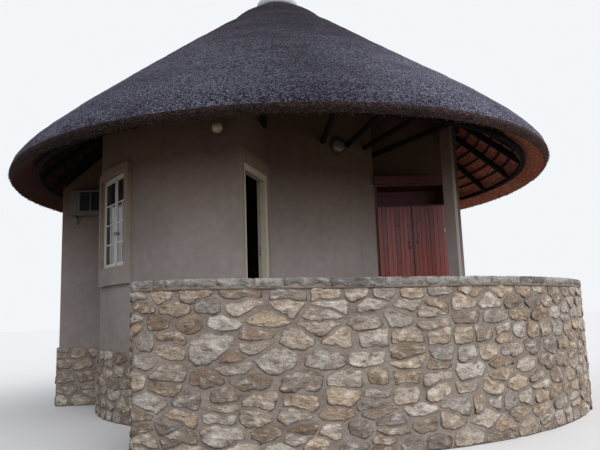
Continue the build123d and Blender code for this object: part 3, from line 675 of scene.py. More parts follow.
def thatchProfile():
    # (radius, height, normal in plan and up, zone) from the crown to the eave and back inside
    spec = thatchCoat
    pitch = hut["pitch"]
    eave, level = hut["eaveRadius"], hut["eaveHeight"]
    stop = spec["crownStop"]
    points = []
    run = eave - 1.2 * spec["edgeRound"] * math.cos(pitch) - stop
    for i in range(spec["slopeSteps"] + 1):
        radius = stop + run * i / spec["slopeSteps"]
        near, far = radius - 0.1, radius + 0.1
        steep = math.atan2(outsideSmooth(near) - outsideSmooth(far), 0.2)
        points.append((radius, outsideSmooth(radius), (math.sin(steep), math.cos(steep)), 0))
    down = Vector((-math.sin(pitch), -math.cos(pitch)))
    out = Vector((math.cos(pitch), -math.sin(pitch)))
    corner = Vector((eave, level))
    bend = spec["edgeRound"]
    heart = corner + (down - out) * bend
    for i in range(1, spec["edgeSteps"] + 1):
        angle = math.radians(90 * i / spec["edgeSteps"])
        spoke = out * math.sin(angle) - down * math.cos(angle)
        points.append((*(heart + spoke * bend), tuple(spoke), 0 if i < 3 else 1))
    cutLength = hut["thatch"] - bend - spec["cutGap"]
    for i in range(1, spec["cutSteps"] + 1):
        points.append((*(corner + down * (bend + cutLength * i / spec["cutSteps"])), tuple(out), 1))
    foot = corner + down * hut["thatch"]
    inner, gap, steps = spec["innerRadius"], spec["insideGap"], spec["insideSteps"]
    for i in range(steps + 1):
        radius = foot.x - gap + (inner - foot.x + gap) * i / steps
        height = undersideHeight(radius) + spec["undersideLift"] / math.cos(pitch)
        points.append((radius, height, (-math.sin(pitch), -math.cos(pitch)), 2))
    return points


def buildThatch():
    spec = thatchCoat
    profile = thatchProfile()
    segments = spec["segments"]
    work = bmesh.new()
    rings = []
    for radius, height, (plan, up), zone in profile:
        ring = []
        for i in range(segments):
            bearing = 360 * i / segments
            spot = place(radius, bearing, height)
            broad = noise.noise(spot * 0.55 + Vector((spec["seed"], 0, 0)))
            fine = noise.noise(spot * 3.1)
            crumb = noise.noise(spot * 11.0)
            sink = spec["sink"] * (0.55 + 0.45 * broad)
            sink += spec["fineSink"] * (fine + 0.6) + spec["crumbSink"] * (crumb + 0.8)
            if zone == 0 and radius < hut["eaveRadius"] - 0.1:
                along = (hut["eaveRadius"] - radius) / math.cos(hut["pitch"])
                wave = 0.1 * noise.noise(spot * 0.9)
                sink += spec["courseStep"] * ((along / spec["courseLength"] + wave) % 1.0)
            if zone == 2:
                sink = spec["insideSink"] * (crumb + 0.8)
            direction = place(plan, bearing, up)
            lift = eaveLift(radius, bearing, spec["innerLift" if zone == 2 else "outerLift"])
            ring.append(work.verts.new(spot - direction * sink + Vector((0, 0, lift))))
        rings.append(ring)
    for upper, lower, above, below in zip(rings, rings[1:], profile, profile[1:]):
        for face in bridge(work, upper, lower):
            face.material_index = max(above[3], below[3])
    for ring, height, zone in ((rings[0], profile[0][1] - 0.01, 0), (rings[-1], profile[-1][1], 2)):
        for face in fan(work, ring, work.verts.new((0, 0, height)), False):
            face.material_index = zone
    mesh = meshFrom(work, "thatch", True)
    for finish in (roofTop, roofEdge, roofInside):
        mesh.materials.append(finish)
    addPiece("thatch", mesh, replaces=("thatch_roof",))


buildThatch()

reedFringe = {
    "Density": 1500.0,
    "Reed Length": 0.028,
    "Reed Radius": 0.0042,
    "Sides": 5,
    "Taper": 0.8,
    "Least Turn": (-0.16, -0.16, -3.0),
    "Most Turn": (0.16, 0.16, 3.0),
    "Least Scale": 0.55,
    "Seed": 12,
}
fringeBand = {"foot": 0.165, "head": 0.05, "sink": 0.024, "segments": 240}


def buildReeds(name, sizes, carrier, material):
    # short reeds that stand out of a strip of thatch, each turned a little
    layout = Layout(name, sizes)
    scatter = layout.node(
        "GeometryNodeDistributePointsOnFaces",
        {"distribute_method": "RANDOM"},
        {"Mesh": layout.carrier(), "Density": layout.size("Density"), "Seed": layout.size("Seed")},
        "Points",
    )
    turn = layout.sibling(scatter, "Rotation")
    stem = layout.node(
        "GeometryNodeMeshCone",
        {"fill_type": "NGON"},
        {
            "Vertices": layout.size("Sides"),
            "Side Segments": 1,
            "Radius Top": layout.size("Reed Radius") * layout.size("Taper"),
            "Radius Bottom": layout.size("Reed Radius"),
            "Depth": layout.size("Reed Length"),
        },
        "Mesh",
    )
    lean = layout.node(
        "FunctionNodeRandomValue",
        {"data_type": "FLOAT_VECTOR"},
        {0: layout.size("Least Turn"), 1: layout.size("Most Turn"), "Seed": layout.size("Seed")},
        0,
    )
    leaning = layout.node(
        "FunctionNodeRotateRotation",
        {"rotation_space": "LOCAL"},
        {"Rotation": turn, "Rotate By": layout.node("FunctionNodeEulerToRotation", None, {"Euler": lean})},
    )
    inputs = {2: layout.size("Least Scale"), 3: 1.0, "Seed": layout.size("Seed")}
    scale = layout.node("FunctionNodeRandomValue", {"data_type": "FLOAT"}, inputs, 1)
    layout.finishAs(layout.instances(scatter, stem, Rotation=leaning, Scale=scale), material, smooth=False)
    return layout.grow(name, carrier)


def conicalStrip(name, lower, upper):
    # a band round the roof between two (radius, height) points
    work = bmesh.new()
    segments = fringeBand["segments"]
    rings = []
    for radius, height in (lower, upper):
        ring = []
        for i in range(segments):
            bearing = 360 * i / segments
            lift = eaveLift(radius, bearing, thatchCoat["outerLift"])
            ring.append(work.verts.new(place(radius, bearing, height + lift)))
        rings.append(ring)
    bridge(work, *rings)
    return meshFrom(work, name, mendNormals=False)


def buildFringe():
    # cut reed ends over the eave's face
    pitch = hut["pitch"]
    corner = Vector((hut["eaveRadius"], hut["eaveHeight"]))
    down = Vector((math.sin(pitch), math.cos(pitch)))
    sunk = fringeBand["sink"] * Vector((math.cos(pitch), -math.sin(pitch)))
    foot, head = (corner - fringeBand[key] * down - sunk for key in ("foot", "head"))
    fringe = buildReeds("reedFringe", reedFringe, conicalStrip("cutBand", foot, head), cutReed)
    addPiece("reed_fringe", fringe)
    print("thatch laid,", len(fringe.polygons), "reed faces")


buildFringe()


roofPoles = {
    "Foot": (0.0, 4.06, 0.0),
    "Head": (0.0, 0.985, 0.0),
    "Plumb Cut": -4.025,
    "Pole Radius": 0.0525,
    "Wander": 0.008,
    "Lumps": 0.006,
    "Steps": 26,
    "Sides": 14,
}
poleGap = 0.0026  # left between the poles and the thatch
frontBearings = (-2.4, 10.1, 22.2, 33.2, 44.8, 57.5, 70.5, 86.0, 101.3)
backCount = 20


def poleBearings():
    # the porch poles as they stand, the others evenly over the rest of the ring
    step = (360 + frontBearings[0] - frontBearings[-1]) / (backCount + 1)
    return [*frontBearings, *(frontBearings[-1] + step * (i + 1) for i in range(backCount))]


def poleAxis(radius):
    return undersideHeight(radius) - (roofPoles["Pole Radius"] + poleGap) / math.cos(hut["pitch"])


def buildPoles():
    sizes = dict(roofPoles)
    for key in ("Foot", "Head"):
        radius = roofPoles[key][1]
        sizes[key] = (0.0, -radius, poleAxis(radius))
    layout = Layout("roofPoles", sizes)
    line = layout.node(
        "GeometryNodeCurvePrimitiveLine", None, {"Start": layout.size("Foot"), "End": layout.size("Head")}
    )
    fine = layout.node("GeometryNodeResampleCurve", None, {"Curve": line, "Count": layout.size("Steps")})
    outline = {"Resolution": layout.size("Sides"), "Radius": layout.size("Pole Radius")}
    section = layout.node("GeometryNodeCurvePrimitiveCircle", None, outline)
    pole = layout.node("GeometryNodeCurveToMesh", None, {"Curve": fine, "Profile Curve": section, "Fill Caps": True})
    spot = layout.node("GeometryNodeInputPosition")
    parts = layout.node("ShaderNodeSeparateXYZ", None, {"Vector": spot})
    across, forward, upward = (layout.sibling(parts, axis) for axis in "XYZ")
    stop = layout.node("ShaderNodeMath", {"operation": "MAXIMUM"}, {0: forward, 1: layout.size("Plumb Cut")})
    level = layout.vector(X=across, Y=stop, Z=upward)
    pole = layout.node("GeometryNodeSetPosition", None, {"Geometry": pole, "Position": level})
    angle = layout.node("ShaderNodeMath", {"operation": "ARCTAN2"}, {0: across, 1: forward * -1.0})
    turn = layout.node("FunctionNodeEulerToRotation", None, {"Euler": layout.vector(Z=angle)})
    poles = layout.instances(layout.carrier(), pole, Rotation=turn)
    whole = layout.node("GeometryNodeRealizeInstances", None, {"Geometry": poles})
    field = layout.node("ShaderNodeTexNoise", None, {"Scale": 1.3, "Detail": 2.0}, "Color")
    shift = layout.node("ShaderNodeVectorMath", {"operation": "SUBTRACT"}, {0: field, 1: (0.5, 0.5, 0.5)})
    sway = layout.node("ShaderNodeVectorMath", {"operation": "SCALE"}, {0: shift, "Scale": layout.size("Wander")})
    knots = layout.node("ShaderNodeTexNoise", None, {"Scale": 14.0, "Detail": 2.0}, "Fac")
    normal = layout.node("GeometryNodeInputNormal")
    swell = layout.node(
        "ShaderNodeVectorMath", {"operation": "SCALE"}, {0: normal, "Scale": (knots - 0.55) * layout.size("Lumps")}
    )
    both = layout.node("ShaderNodeVectorMath", {"operation": "ADD"}, {0: sway, 1: swell})
    bent = layout.node("GeometryNodeSetPosition", None, {"Geometry": whole, "Offset": both})
    layout.finishAs(bent, darkPole)
    carrier = bpy.data.meshes.new("poleSpots")
    carrier.from_pydata([place(0.0001, bearing) for bearing in poleBearings()], [], [])
    return layout.grow("roofPoles", carrier)


rafters = ("rafters_porch", "rafters_rear", "rafters_left")
addPiece("roof_poles", buildPoles(), replaces=rafters)

laths = {
    "Count": 19,
    "First Radius": 3.93,
    "Radius Step": -0.153,
    "Lath Radius": 0.0155,
}
ringSticks = {
    "Count": 6,
    "First Radius": 4.043,
    "Radius Step": 0.0278,
    "Row Step": 0.0255,
    "Lath Radius": 0.0165,
}
ringDetail = {"around": 120, "section": 7, "lathRise": 0.007, "bundleRadius": 4.116, "bundleDrop": 0.0185}


def buildRings(name, sizes, material, drop=None):
    # rings of sticks one radius step apart, just under the thatch or in two rows of a flat bundle
    layout = Layout(name, sizes)
    circle = layout.node("GeometryNodeCurvePrimitiveCircle", None, {"Resolution": ringDetail["around"], "Radius": 1.0})
    spots = layout.node("GeometryNodeMeshLine", None, {"Count": layout.size("Count"), "Offset": (0, 0, 0)})
    index = layout.node("GeometryNodeInputIndex")
    if drop is None:
        radius = layout.size("First Radius") + index * layout.size("Radius Step")
        reach = hut["eaveRadius"] - hut["thatch"] * math.sin(hut["pitch"])
        height = (reach - radius) * math.tan(hut["pitch"]) + (undersideHeight(reach) + ringDetail["lathRise"])
    else:
        row = layout.node("ShaderNodeMath", {"operation": "MODULO"}, {0: index, 1: 2.0})
        column = layout.node("ShaderNodeMath", {"operation": "FLOOR"}, {0: index / 2.0})
        radius = layout.size("First Radius") + column * layout.size("Radius Step")
        height = drop - row * layout.size("Row Step")
    lifted = layout.node("GeometryNodeSetPosition", None, {"Geometry": spots, "Offset": layout.vector(Z=height)})
    rings = layout.instances(lifted, circle, Scale=layout.vector(X=radius, Y=radius, Z=1.0))
    whole = layout.node("GeometryNodeRealizeInstances", None, {"Geometry": rings})
    outline = {"Resolution": ringDetail["section"], "Radius": layout.size("Lath Radius")}
    section = layout.node("GeometryNodeCurvePrimitiveCircle", None, outline)
    mesh = layout.node("GeometryNodeCurveToMesh", None, {"Curve": whole, "Profile Curve": section})
    layout.finishAs(mesh, material)
    return layout.grow(name)


addPiece("laths", buildRings("laths", laths, lath))
bundleTop = undersideHeight(ringDetail["bundleRadius"]) - ringDetail["bundleDrop"]
sticks = buildRings("ringSticks", ringSticks, lath, bundleTop)
addPiece("eave_ring_sticks", sticks, replaces=("eave_ring",))

tiePoles = {
    # (roof pole, bearing that it points to, level, wall that it ends in)
    "poles": (
        (0, 1.0, 4.15, "door"), (1, 2.5, 4.08, "back"), (2, 10.6, 4.08, "back"), (3, 19.5, 4.08, "back"),
        (4, 28.0, 4.08, "recess"),
    ),
    "radius": 0.0435,
    "aside": (0.0553, 0.045),
    "rise": 0.045,
    "short": 0.032,
    "bend": 0.005,
    "swell": 0.05,
    "mostSwell": 1.02,
    "sides": 14,
    "steps": 16,
}


def tieReach(tip, inward, wall):
    # distance from a tie pole's tip to the wall that it ends in
    corner, _, outward = porchLines()
    if wall == "door":
        way = heading(hut["doorHeading"])
        outward = Vector((way.y, -way.x, 0))
    if wall == "recess":
        corner, outward = Vector((0, hut["recessFront"], 0)), Vector((0, -1, 0))
    return (tip - corner).dot(outward) / -inward.dot(outward) - seam


def tieTip(index, pointing, level):
    # the outer end of a tie pole, beside its roof pole and just short of the thatch
    spec = tiePoles
    bearing = frontBearings[index]
    side = 1 if bearing > pointing else -1
    least, more = spec["aside"]
    aside = least + more * math.cos(math.radians(bearing - pointing))
    reach = hut["eaveRadius"] - hut["thatch"] * math.sin(hut["pitch"])
    climb = level + spec["rise"] - undersideHeight(reach)
    tipRadius = reach - climb / math.tan(hut["pitch"]) - spec["short"]
    return place(tipRadius, bearing) + place(side, bearing + 90) * aside


def buildTiePoles():
    # slightly bent round poles between the porch walls and the roof poles
    work = bmesh.new()
    spec = tiePoles
    sides, steps = spec["sides"], spec["steps"]
    for index, pointing, level, wall in spec["poles"]:
        tip = tieTip(index, pointing, level)
        inward = place(-1, pointing)
        length = tieReach(tip, inward, wall)
        rings = []
        for i in range(steps + 1):
            spot = tip + inward * (length * i / steps)
            bend = spec["bend"] * noise.noise(spot * 1.7) * math.sin(math.pi * i / steps)
            ring = []
            for j in range(sides):
                angle = 2 * math.pi * j / sides
                swell = 1 + spec["swell"] * noise.noise(spot * 6 + Vector((0, 0, j * 0.4)))
                arm = place(1, pointing + 90) * math.cos(angle) + Vector((0, 0, 1)) * math.sin(angle)
                centre = Vector((spot.x, spot.y, level + bend))
                ring.append(work.verts.new(centre + arm * (spec["radius"] * min(swell, spec["mostSwell"]))))
            rings.append(ring)
        for first, second in zip(rings, rings[1:]):
            bridge(work, first, second)
        work.faces.new(rings[0])
        work.faces.new(rings[-1])
    addPiece("tie_poles_bent", meshFrom(work, "tiePoles", True), "hut", darkPole, ("tie_poles",))


buildTiePoles()
print("roof poles and laths set")


rubble = {
    "course": (0.085, 0.235),
    "width": (0.22, 0.56),
    "stretch": 1.75,
    "joint": (0.003, 0.03),
    "proud": (0.01, 0.023),
    "deepest": 0.0245,
    "least": 0.002,
    "leastArea": 0.0014,
    "grain": 0.031,
    "thinnest": 0.09,
    "seedBand": (0.36, 0.64),
    "splitChance": 0.22,
    "splitFrom": 0.15,
    "splitRise": 0.26,
    "splitSway": 0.03,
    "reach": 0.75,
    "near": 1.5,
    "largeShare": 0.6,
    "bend": 0.04,
    "edge": 0.003,
    "rough": (0.032, 0.14),
    "tilt": 0.05,
    "relief": (0.013, 0.007),
    "cleftReach": 0.05,
    "cleftSlope": 0.13,
    "rings": ((0.0, -0.014), (0.012, 0.6), (0.045, 0.95), (0.14, 1.0), (0.34, 1.0), (0.6, 1.0), (0.82, 1.0)),
}


def clipOutline(outline, point, normal):
    kept = []
    for i, here in enumerate(outline):
        there = outline[(i + 1) % len(outline)]
        a = (here - point).dot(normal)
        b = (there - point).dot(normal)
        if a <= 0:
            kept.append(here)
        if a * b < 0:
            kept.append(here.lerp(there, a / (a - b)))
    return kept


def sowSeeds(rng, length, height, large):
    # rough courses of points with a weight each, which stones grow from; the large ones come last
    stretch = rubble["stretch"]
    seeds = []
    level = 0.0
    while level < height - 0.02:
        course = rng.uniform(*rubble["course"])
        if height - level - course < rubble["thinnest"]:
            course = height - level
        along = -rng.uniform(0, 0.2)
        while along < length + 0.1:
            width = rng.uniform(*rubble["width"]) * (0.75 + 1.4 * course)
            middle = Vector((along + width / 2, (level + course * rng.uniform(*rubble["seedBand"])) * stretch))
            if all((middle - Vector((x, z * stretch))).length > reach for x, z, reach in large):
                if rng.random() < rubble["splitChance"] and course > rubble["splitFrom"]:
                    sway = rng.uniform(-rubble["splitSway"], rubble["splitSway"])
                    rise = Vector((sway, course * rubble["splitRise"] * stretch))
                    seeds += [(middle + rise, 0.0), (middle - rise, 0.0)]
                else:
                    seeds.append((middle, 0.0))
            along += width
        level += course
    return seeds + [(Vector((x, z * stretch)), reach * rubble["largeShare"]) for x, z, reach in large]


def growOutline(index, seeds, length, height, seed):
    # what lies nearest to one seed, less the joint; fewer than three points where nothing is left
    stretch = rubble["stretch"]
    narrow, wide = rubble["joint"]
    seedPoint, weight = seeds[index]
    outline = [seedPoint + Vector(c) * rubble["reach"] for c in ((-1, -1), (1, -1), (1, 1), (-1, 1))]
    for point, normal in (
        ((seam, 0), (-1, 0)), ((length - seam, 0), (1, 0)),
        ((0, seam), (0, -1)), ((0, height * stretch - seam), (0, 1)),
    ):
        outline = clipOutline(outline, Vector(point), Vector(normal))
    for other, (otherPoint, otherWeight) in enumerate(seeds):
        apart = otherPoint - seedPoint
        if other == index or not 1e-6 <= apart.length <= rubble["near"]:
            continue
        share = 0.5 + (weight**2 - otherWeight**2) / (2 * apart.length_squared)
        normal = apart.normalized()
        pick = 0.45 + 1.1 * noise.noise(Vector(((index + other) * 0.73, index * other * 0.137, seed)))
        joint = narrow + (wide - narrow) * min(1.0, max(0.0, pick))
        outline = clipOutline(outline, seedPoint + apart * share - normal * joint, normal)
        if len(outline) < 3:
            break
    return [Vector((point.x, point.y / stretch)) for point in outline]


def layStones(length, height, seed, large=()):
    # the stones of one face: outline, tone, warmth, how far it stands out and an offset for its noise
    rng = random.Random(seed)
    seeds = sowSeeds(rng, length, height, large)
    stones = []
    for index, (seedPoint, _) in enumerate(seeds):
        if not (-0.05 < seedPoint.x < length + 0.05):
            continue
        outline = growOutline(index, seeds, length, height, seed)
        if len(outline) < 3:
            continue
        area = 0.5 * abs(sum(a.x * b.y - b.x * a.y for a, b in zip(outline, outline[1:] + outline[:1])))
        tone, warm = rng.random(), rng.random()
        if index >= len(seeds) - len(large):
            tone, warm = 0.35 + 0.3 * tone, 0.1 * warm
        proud, offset = rng.uniform(*rubble["proud"]), rng.random() * 50
        if area > rubble["leastArea"]:
            rim = [bendPoint(point, length, height, seed) for point in softenOutline(outline, offset, area)]
            stones.append((rim, tone, warm, proud, offset))
    return stones


def softenOutline(outline, offset, area):
    # cuts the corners, then divides long edges and roughens them
    cut = []
    for here, there in zip(outline, outline[1:] + outline[:1]):
        share = 0.12 + 0.1 * abs(noise.noise(Vector((here.x * 3, here.y * 3, offset))))
        cut.append(here.lerp(there, share))
        cut.append(here.lerp(there, 1 - share))
    dense = []
    for here, there in zip(cut, cut[1:] + cut[:1]):
        steps = max(1, round((there - here).length / rubble["grain"]))
        dense.extend(here.lerp(there, k / steps) for k in range(steps))
    centre = sum(dense, Vector((0, 0))) / len(dense)
    most, share = rubble["rough"]
    reach = min(most, share * math.sqrt(area))
    rough = []
    for point in dense:
        spot = Vector((point.x, point.y, offset))
        push = 0.6 * noise.noise(spot * 8.0) + 0.4 * noise.noise(spot * 27.0)
        out = point - centre
        rough.append(point + out.normalized() * (push - 0.2) * reach)
    return rough


def bendPoint(point, length, height, seed):
    # one shared unevenness for all the joints of a wall
    bend = Vector((0.0, 0.0))
    for scale, share in ((4.5, 1.0), (13.0, 0.4)):
        spot = Vector((point.x, point.y, 0.0)) * scale
        bend.x += share * noise.noise(spot + Vector((0, 0, seed)))
        bend.y += share * noise.noise(spot + Vector((0, 0, seed + 31)))
    near = min(point.x, length - point.x, point.y, height - point.y)
    moved = point + bend * rubble["bend"] * smooth(near, -0.01, 0.09)
    edge = rubble["edge"]
    return Vector((min(max(moved.x, edge), length - edge), min(max(moved.y, edge), height - edge)))


def cleft(spot, centre, offset):
    # a split face: three slopes that fall away from low ridges
    depth = 0.0
    for turn in (0.0, 2.1, 4.3):
        angle = turn + 3 * noise.noise(Vector((offset, turn, 3)))
        reach = rubble["cleftReach"] * noise.noise(Vector((offset, turn, 11)))
        side = (spot.x - centre.x) * math.cos(angle) + (spot.y - centre.y) * math.sin(angle) - reach
        depth -= rubble["cleftSlope"] * max(0.0, side)
    return depth


def addStones(work, stones, mapPoint, tones):
    # each stone is a rough plate of rings from its outline to its middle
    coarse, small = rubble["relief"]
    for rim, tone, warm, proud, offset in stones:
        centre = sum(rim, Vector((0, 0))) / len(rim)
        tall = max(abs(point.y - centre.y) for point in rim)
        tilt = Vector((noise.noise(Vector((offset, 1, 0))), noise.noise(Vector((offset, 0, 7))))) * rubble["tilt"]
        previous = None
        for share, lift in rubble["rings"]:
            ring = []
            for point in rim:
                spot = point.lerp(centre, share)
                depth = lift
                low = (centre.y - spot.y) / tall
                # worn: painted shade, darker near the rim, on the lower side and in the hollows of each stone
                worn = (1 - smooth(share, 0.0, 0.13)) * (0.45 + 0.55 * smooth(low, -0.3, 0.6))
                worn += 0.35 * smooth(low, 0.45, 1.0)
                if share:
                    rough = noise.noise(Vector((spot.x * 10, spot.y * 15, offset)))
                    chip = noise.noise(Vector((spot.x * 28, spot.y * 40, offset + 9)))
                    shape = coarse * rough + small * chip + cleft(spot, centre, offset) + (spot - centre).dot(tilt)
                    worn += 0.7 * max(0.0, -chip - 0.12) + 0.5 * max(0.0, -rough - 0.15)
                    depth = max(rubble["least"], min(proud * lift + shape, rubble["deepest"]))
                vertex = work.verts.new(mapPoint(spot.x, spot.y, depth))
                tones[vertex] = (tone, warm, worn)
                ring.append(vertex)
            if previous:
                bridge(work, previous, ring)
            previous = ring
        middle = work.verts.new(mapPoint(centre.x, centre.y, min(proud, rubble["deepest"])))
        tones[middle] = (tone, warm, 0.0)
        fan(work, previous, middle)


def tonedMesh(work, tones, name, mendNormals=False):
    # keeps each stone's tone on its points
    order = [tones[vertex] for vertex in work.verts]
    mesh = meshFrom(work, name, True, mendNormals)
    for index, key in enumerate(stoneAttributes):
        layer = mesh.attributes.new(key, "FLOAT", "POINT")
        layer.data.foreach_set("value", [values[index] for values in order])
    return mesh


def stoneMesh(name, faces):
    work = bmesh.new()
    tones = {}
    for stones, mapPoint in faces:
        addStones(work, stones, mapPoint, tones)
    return tonedMesh(work, tones, name)


def wallLevel(level, bearing):
    # the porch wall's top falls a little to the right of its left end
    return level * (1 - porchWall["fall"] * smooth(bearing, porchWall["start"], porchWall["fallEnd"]))


# these three place a face's own coordinates, along it, up it and out of it, in the hut
def outerFace(radius, start, level=lambda z, bearing: z):
    def mapPoint(s, z, depth):
        bearing = start + math.degrees(s / radius)
        return place(radius + depth, bearing, level(z, bearing))

    return mapPoint


def innerFace(radius, end, base):
    def mapPoint(s, z, depth):
        bearing = end - math.degrees(s / radius)
        return place(radius - depth, bearing, wallLevel(base + z, bearing))

    return mapPoint


def flatFace(origin, along):
    outward = Vector((along.y, -along.x, 0))
    return lambda s, z, depth: origin + along * s + outward * depth + Vector((0, 0, z))


porchWall = {
    "outer": 4.7,
    "thickness": 0.35,
    "start": -20.6,
    "end": 98.0,
    "height": 1.664,
    "recess": 0.025,
    "fall": 0.027,
    "fallEnd": 12.0,
    "endGap": 0.2,
    "hutGap": 0.035,
    "ripple": (0.007, 0.004),
    "rippleSink": 0.002,
    "bevel": 0.01,
    "mortarSteps": (260, 44, 6),
    "seeds": {"front": 5, "end": 9, "inside": 17, "returnSide": 23, "returnEnd": 29},
    "largeStones": (
        (0.86, 1.08, 0.28), (1.52, 0.98, 0.19), (1.98, 0.97, 0.18),
        (3.4, 0.42, 0.2), (5.2, 1.15, 0.17), (6.3, 0.6, 0.21),
    ),
}


def arcLength(radius, start, end):
    return math.radians(end - start) * radius


def buildMortar(name, inner, outer, start, end, bottom, top, replaces, steps):
    # the wall's mortar body, a little uneven
    across, up, deep = steps
    large, small = porchWall["ripple"]
    work = bmesh.new()
    grid = {}

    def point(i, j, k):
        key = (i, j, k)
        if key not in grid:
            bearing = start + (end - start) * i / across
            radius = inner + (outer - inner) * k / deep
            spot = place(radius, bearing, wallLevel(bottom + (top - bottom) * j / up, bearing))
            ripple = large * noise.noise(spot * 6) + small * noise.noise(spot * 23) - porchWall["rippleSink"]
            if k in (0, deep):
                spot += place(1 if k else -1, bearing) * ripple
            grid[key] = work.verts.new(spot)
        return grid[key]

    for i in range(across):
        for j in range(up):
            work.faces.new((point(i, j, deep), point(i + 1, j, deep), point(i + 1, j + 1, deep), point(i, j + 1, deep)))
            work.faces.new((point(i + 1, j, 0), point(i, j, 0), point(i, j + 1, 0), point(i + 1, j + 1, 0)))
        for k in range(deep):
            work.faces.new((point(i, up, k), point(i, up, k + 1), point(i + 1, up, k + 1), point(i + 1, up, k)))
            work.faces.new((point(i, 0, k + 1), point(i, 0, k), point(i + 1, 0, k), point(i + 1, 0, k + 1)))
    for j in range(up):
        for k in range(deep):
            work.faces.new((point(0, j, k), point(0, j, k + 1), point(0, j + 1, k + 1), point(0, j + 1, k)))
            work.faces.new(
                (point(across, j, k + 1), point(across, j, k), point(across, j + 1, k), point(across, j + 1, k + 1))
            )
    addPiece(name, meshFrom(work, name, True), material=mortar, replaces=replaces)


def buildPorchWall():
    wall = porchWall
    outer = wall["outer"] - wall["recess"]
    inner = wall["outer"] - wall["thickness"] + wall["recess"]
    buildMortar(
        "porch_wall_mortar", inner, outer, wall["start"] + wall["endGap"], wall["end"], 0.0, wall["height"] - seam,
        ("rubble_wall_left", "rubble_wall_right"), wall["mortarSteps"],
    )
    length = arcLength(outer, wall["start"], wall["end"])
    seeds = wall["seeds"]
    front = layStones(length, wall["height"], seeds["front"], wall["largeStones"])
    endAlong = place(-1, wall["start"])
    endOrigin = place(wall["outer"] - seam, wall["start"] + wall["endGap"])
    endStones = layStones(wall["thickness"] - 2 * seam, wall["height"], seeds["end"])
    mesh = stoneMesh(
        "porchStones",
        ((front, outerFace(outer, wall["start"], wallLevel)), (endStones, flatFace(endOrigin, endAlong))),
    )
    addPiece("porch_wall_stones", mesh, material=rubbleStone)
    insideHeight = wall["height"] - hut["porchLevel"]
    inside = layStones(arcLength(inner, wall["start"], wall["end"]), insideHeight, seeds["inside"])
    mesh = stoneMesh("insideStones", ((inside, innerFace(inner, wall["end"], hut["porchLevel"])),))
    addPiece("porch_wall_stones_inside", mesh, material=rubbleStone)
    print("porch wall stones,", len(front), "outside and", len(inside), "inside")


def buildReturnWall():
    # the stone return that joins the porch wall's right end to the round wall
    wall = porchWall
    across = place(1, wall["end"] + 90)
    outward = place(1, wall["end"])
    near = hut["wallRadius"] + wall["hutGap"]
    far = wall["outer"] - seam / 2
    recess, seeds = wall["recess"], wall["seeds"]
    deep = wall["thickness"] - recess
    size = (far - near, deep, wallLevel(wall["height"] - seam, wall["end"]))
    centre = outward * (near + far) / 2 + across * deep / 2
    block = (size, upright(centre, outward, size[2] / 2), wall["bevel"])
    addBlocks("return_wall_mortar", (block,), mortar, replaces=("rubble_wall_return",))
    outerStones = layStones(far - near, size[2], seeds["returnSide"])
    endStones = layStones(deep, size[2], seeds["returnEnd"])
    mesh = stoneMesh(
        "returnStones",
        (
            (outerStones, flatFace(outward * far + across * deep, -outward)),
            (endStones, flatFace(outward * (far - recess), across)),
        ),
    )
    addPiece("return_wall_stones", mesh, material=rubbleStone)


plinth = {"proud": 0.031, "sideShift": 0.003, "left": -20.4, "right": 98.5, "seeds": (41, 43, 47, 53, 59)}


def buildPlinth():
    # stones on the base course under the plastered wall and the bay
    radius = hut["wallRadius"] + plinth["proud"]
    bayRadius = hut["bayRadius"] + plinth["proud"]
    height = hut["plasterBase"] - seam
    bayStart, bayEnd = hut["bayStart"], hut["bayEnd"]
    curves = (
        (radius, bayEnd, plinth["left"]),
        (radius, plinth["right"], 360 + bayStart),
        (bayRadius, bayStart, bayEnd),
    )
    faces = []
    for seed, (r, start, end) in zip(plinth["seeds"], curves):
        faces.append((layStones(arcLength(r, start, end), height, seed), outerFace(r, start)))
    for seed, bearing, sign in zip(plinth["seeds"][3:], (bayEnd, bayStart), (1, -1)):
        out = place(1, bearing)
        origin = out * (bayRadius if sign > 0 else radius)
        along = -out if sign > 0 else out
        shift = place(1, bearing + 90) * sign * plinth["sideShift"]
        faces.append((layStones(bayRadius - radius, height, seed), flatFace(origin + shift, along)))
    addPiece("plinth_stones", stoneMesh("plinthStones", faces), material=rubbleStone)


coping = {
    "top": 1.768,
    "length": (0.13, 0.62),
    "depth": (0.084, 0.104),
    "ragged": 0.05,
    "joint": (0.004, 0.018),
    "shortest": 0.22,
    "chip": 0.012,
    "grain": 0.04,
    "rows": 7,
    "layers": ((0.0, 0.008), (0.1, 0.0), (0.5, 0.0), (0.93, 0.0), (1.0, 0.006)),
    "bedSteps": (260, 5, 8),
    "bedInset": (0.012, 0.008),
    "bedSink": 0.01,
    "hutGap": 0.036,
    "returnShift": 0.345,
    "returnBed": (0.02, 0.024, 0.014),
    "returnBevel": 0.008,
    "seeds": (3, 8),
}


